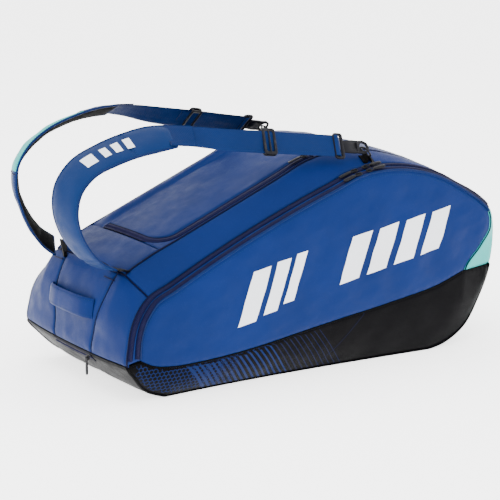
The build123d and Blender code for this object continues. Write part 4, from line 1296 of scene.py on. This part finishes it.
def slider(b, place):
    half = [(-5.2, -2.2), (-4.4, -3.2), (-1.5, -3.9), (1.5, -3.9), (4.4, -3.2), (5.2, -2.2)]
    plate(b, half + [(x, -y) for x, y in half[::-1]], 1.8, place, 0.5, rise=1.0)
    arch = ((-3.4, 1.6), (-3.1, 3.4), (-1.6, 4.6), (1.2, 4.6), (2.9, 3.4), (3.3, 1.6))
    wire(b, place, [(x, 0, z) for x, z in arch], 0.85, step=0.8)


def puller(b, place, way, long=33.0):
    """A metal link on the slider's arch and a moulded tab on it."""
    def up(p):
        return place(p * np.array([way, way, 1]) + np.array([0, 0, 3.0]))
    c = np.array([4.2, 0.0])
    plate(b, c + circle(6.0, 3.4), 1.3, up, 0.4, c + circle(4.4, 2.0))
    half = [(9, -1.6), (12, -2.9), (long - 6, -3.3), (long - 1.2, -2.6)]
    plate(b, half + [(long, 0)] + [(x, -y) for x, y in half[::-1]], 2.2, up, 0.7)
    for k in np.linspace(14, long - 5, 6):
        wire(b, up, [(k, y, 1.15) for y in (-2.2, 2.2)], 0.4, sides=5, step=1.5)


def on_strip(share, x=None, deg=None):
    """Origin and two directions of a slider on the zip strip, on its climb at x or on its peak at an angle."""
    if deg is None:
        z, mx, mz = climb(x)
    else:
        mx, mz = math.cos(math.radians(deg)), math.sin(math.radians(deg))
        x, z = PEAK_C[0] + PEAK_R * mx, PEAK_C[1] + PEAK_R * mz
    length = math.hypot(22, 8)
    ny, nh = 8 / length, 22 / length
    h = -share * 8 + SLIDER_LIFT * nh
    origin = np.array([x + mx * h, -(157 + share * 22 + SLIDER_LIFT * ny), z + mz * h])
    return origin, np.array([mz, 0, -mx]), np.array([mx * nh, -ny, mz * nh])


def slider_and_pull(place, way, names, flip=False):
    """Both on their bodies; names are the slider piece, the pull piece, the slider body and the puller body."""
    for draw, extra, name, body in ((slider, (), names[0], names[2]), (puller, (way,), names[1], names[3])):
        b = Build()
        draw(b, place, *extra)
        b.object(name, body, "hardware", (body,), flip=flip)


SLIDER_LIFT = 2.3
for z_name, share in (("main", STRIP_MAIN), ("side", STRIP_SIDE)):
    for suffix, where, way in (("narrow_right", dict(x=81.0), -1), ("head_right", dict(deg=96.8), 1),
                               ("left", dict(x=81.0), -1)):
        slider_and_pull(frame_at(*on_strip(share, **where)), way,
                        (f"{z_name}_slider_body_{suffix}", f"{z_name}_pull_{suffix}", f"{z_name}_slider_{suffix}",
                         f"{z_name}_puller_{suffix}"), flip=suffix == "left")

POCKET_ZIP_Y = 107
x = 32.0
z, mx, mz = climb(x)
h = climb_crown(x, z, mx, mz) + 5 * (1 - POCKET_ZIP_Y / SEAM_AT) + 2.6
slider_and_pull(frame_at((x + mx * h, -POCKET_ZIP_Y, z + mz * h), (mz, 0, -mx), (mx, 0, mz)), -1,
                ("pocket_slider_body", "pocket_pull", "pocket_slider", "pocket_puller"))

# vent zip under the narrow end, and the puller that hangs from it
lo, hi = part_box("vent_puller")
vx, vy, vtop = (lo.x + hi.x) / 2 * 1000, (lo.y + hi.y) / 2 * 1000, hi.z * 1000
b = Build()
P, N = across_belt(29.66, 0.55, -0.55, 80)
ribbon(b, P - N * 0.4, N, 16, "black", thick=0.8, across=7)
coil(b, P + N * 0.7, N)
for off in (-8.2, 8.2):
    tube(b, beside(P, N, off), 0.9, "seam")
slider(b, frame_at((vx + 3.2, vy, vtop - 1.5), (0, -1, 0), (-1, 0, 0)))
b.object("vent_zip_coil", "bag", "coil", ("vent_zip",))
b = Build()
puller(b, frame_at((vx + 3.2, vy, vtop - 0.5), (0, 0, -1), (-1, 0, 0)), 1, long=30)
b.object("vent_pull", "vent_puller", "hardware", ("vent_puller",))

# ---------------------------------------------------------------- floor, light and camera
f = Nodes("pale_floor")
PALE, PALER = (0.95, 0.95, 0.95, 1), (0.98, 0.98, 0.98, 1)
f.put(f.bsdf.inputs["Base Color"], f.mix(f.remap(f.noise(3.0), 0.3, 0.7, 0, 1), PALE, PALER))
f.put(f.bsdf.inputs["Emission Color"], (1, 1, 1, 1))
f.put(f.bsdf.inputs["Emission Strength"], 2.0)
f.put(f.bsdf.inputs["Roughness"], 0.9)
M["floor"] = f.mat
ring = [(math.cos(a) * 30000, math.sin(a) * 30000, -0.5) for a in np.linspace(0, 2 * math.pi, 65)[:-1]]
floor = add_mesh("floor", ring, [list(range(64))], ["floor"])
for name, loc, size, power in (
        ("key", (-1.6, -2.6, 3.2), 2.4, 62), ("fill", (2.6, -1.6, 1.8), 2.6, 26),
        ("top", (-0.4, 0.9, 3.4), 3.2, 55), ("left", (-3.0, 0.4, 1.6), 2.4, 30)):
    data = bpy.data.lights.new("light_" + name, "AREA")
    data.shape, data.size, data.energy = "DISK", size, power
    o = bpy.data.objects.new("light_" + name, data)
    o.location = loc
    o.rotation_euler = (Vector((0, 0, 0.2)) - Vector(loc)).to_track_quat("-Z", "Y").to_euler()
    bpy.context.scene.collection.objects.link(o)
world = bpy.data.worlds.new("studio")
bpy.context.scene.world = world
world.use_nodes = True
sky = world.node_tree.nodes["Background"].inputs
sky[0].default_value, sky[1].default_value = (1, 1, 1, 1), 2.6

cam = bpy.data.objects.new("camera", bpy.data.cameras.new("camera"))
bpy.context.scene.collection.objects.link(cam)
azimuth, elevation, distance_m, target = -32.283, 12.426, 3.088, Vector((-0.021, 0, 0.181))
a, e = math.radians(azimuth), math.radians(elevation)
back = Vector((math.sin(a) * math.cos(e), -math.cos(a) * math.cos(e), math.sin(e)))
cam.location = target + back * distance_m
cam.rotation_mode = "QUATERNION"
cam.rotation_quaternion = (-back).to_track_quat("-Z", "Y")
cam.data.lens, cam.data.sensor_width = 129.6, 36.0
cam.data.clip_start, cam.data.clip_end = 0.05, 200.0
bpy.context.scene.camera = cam
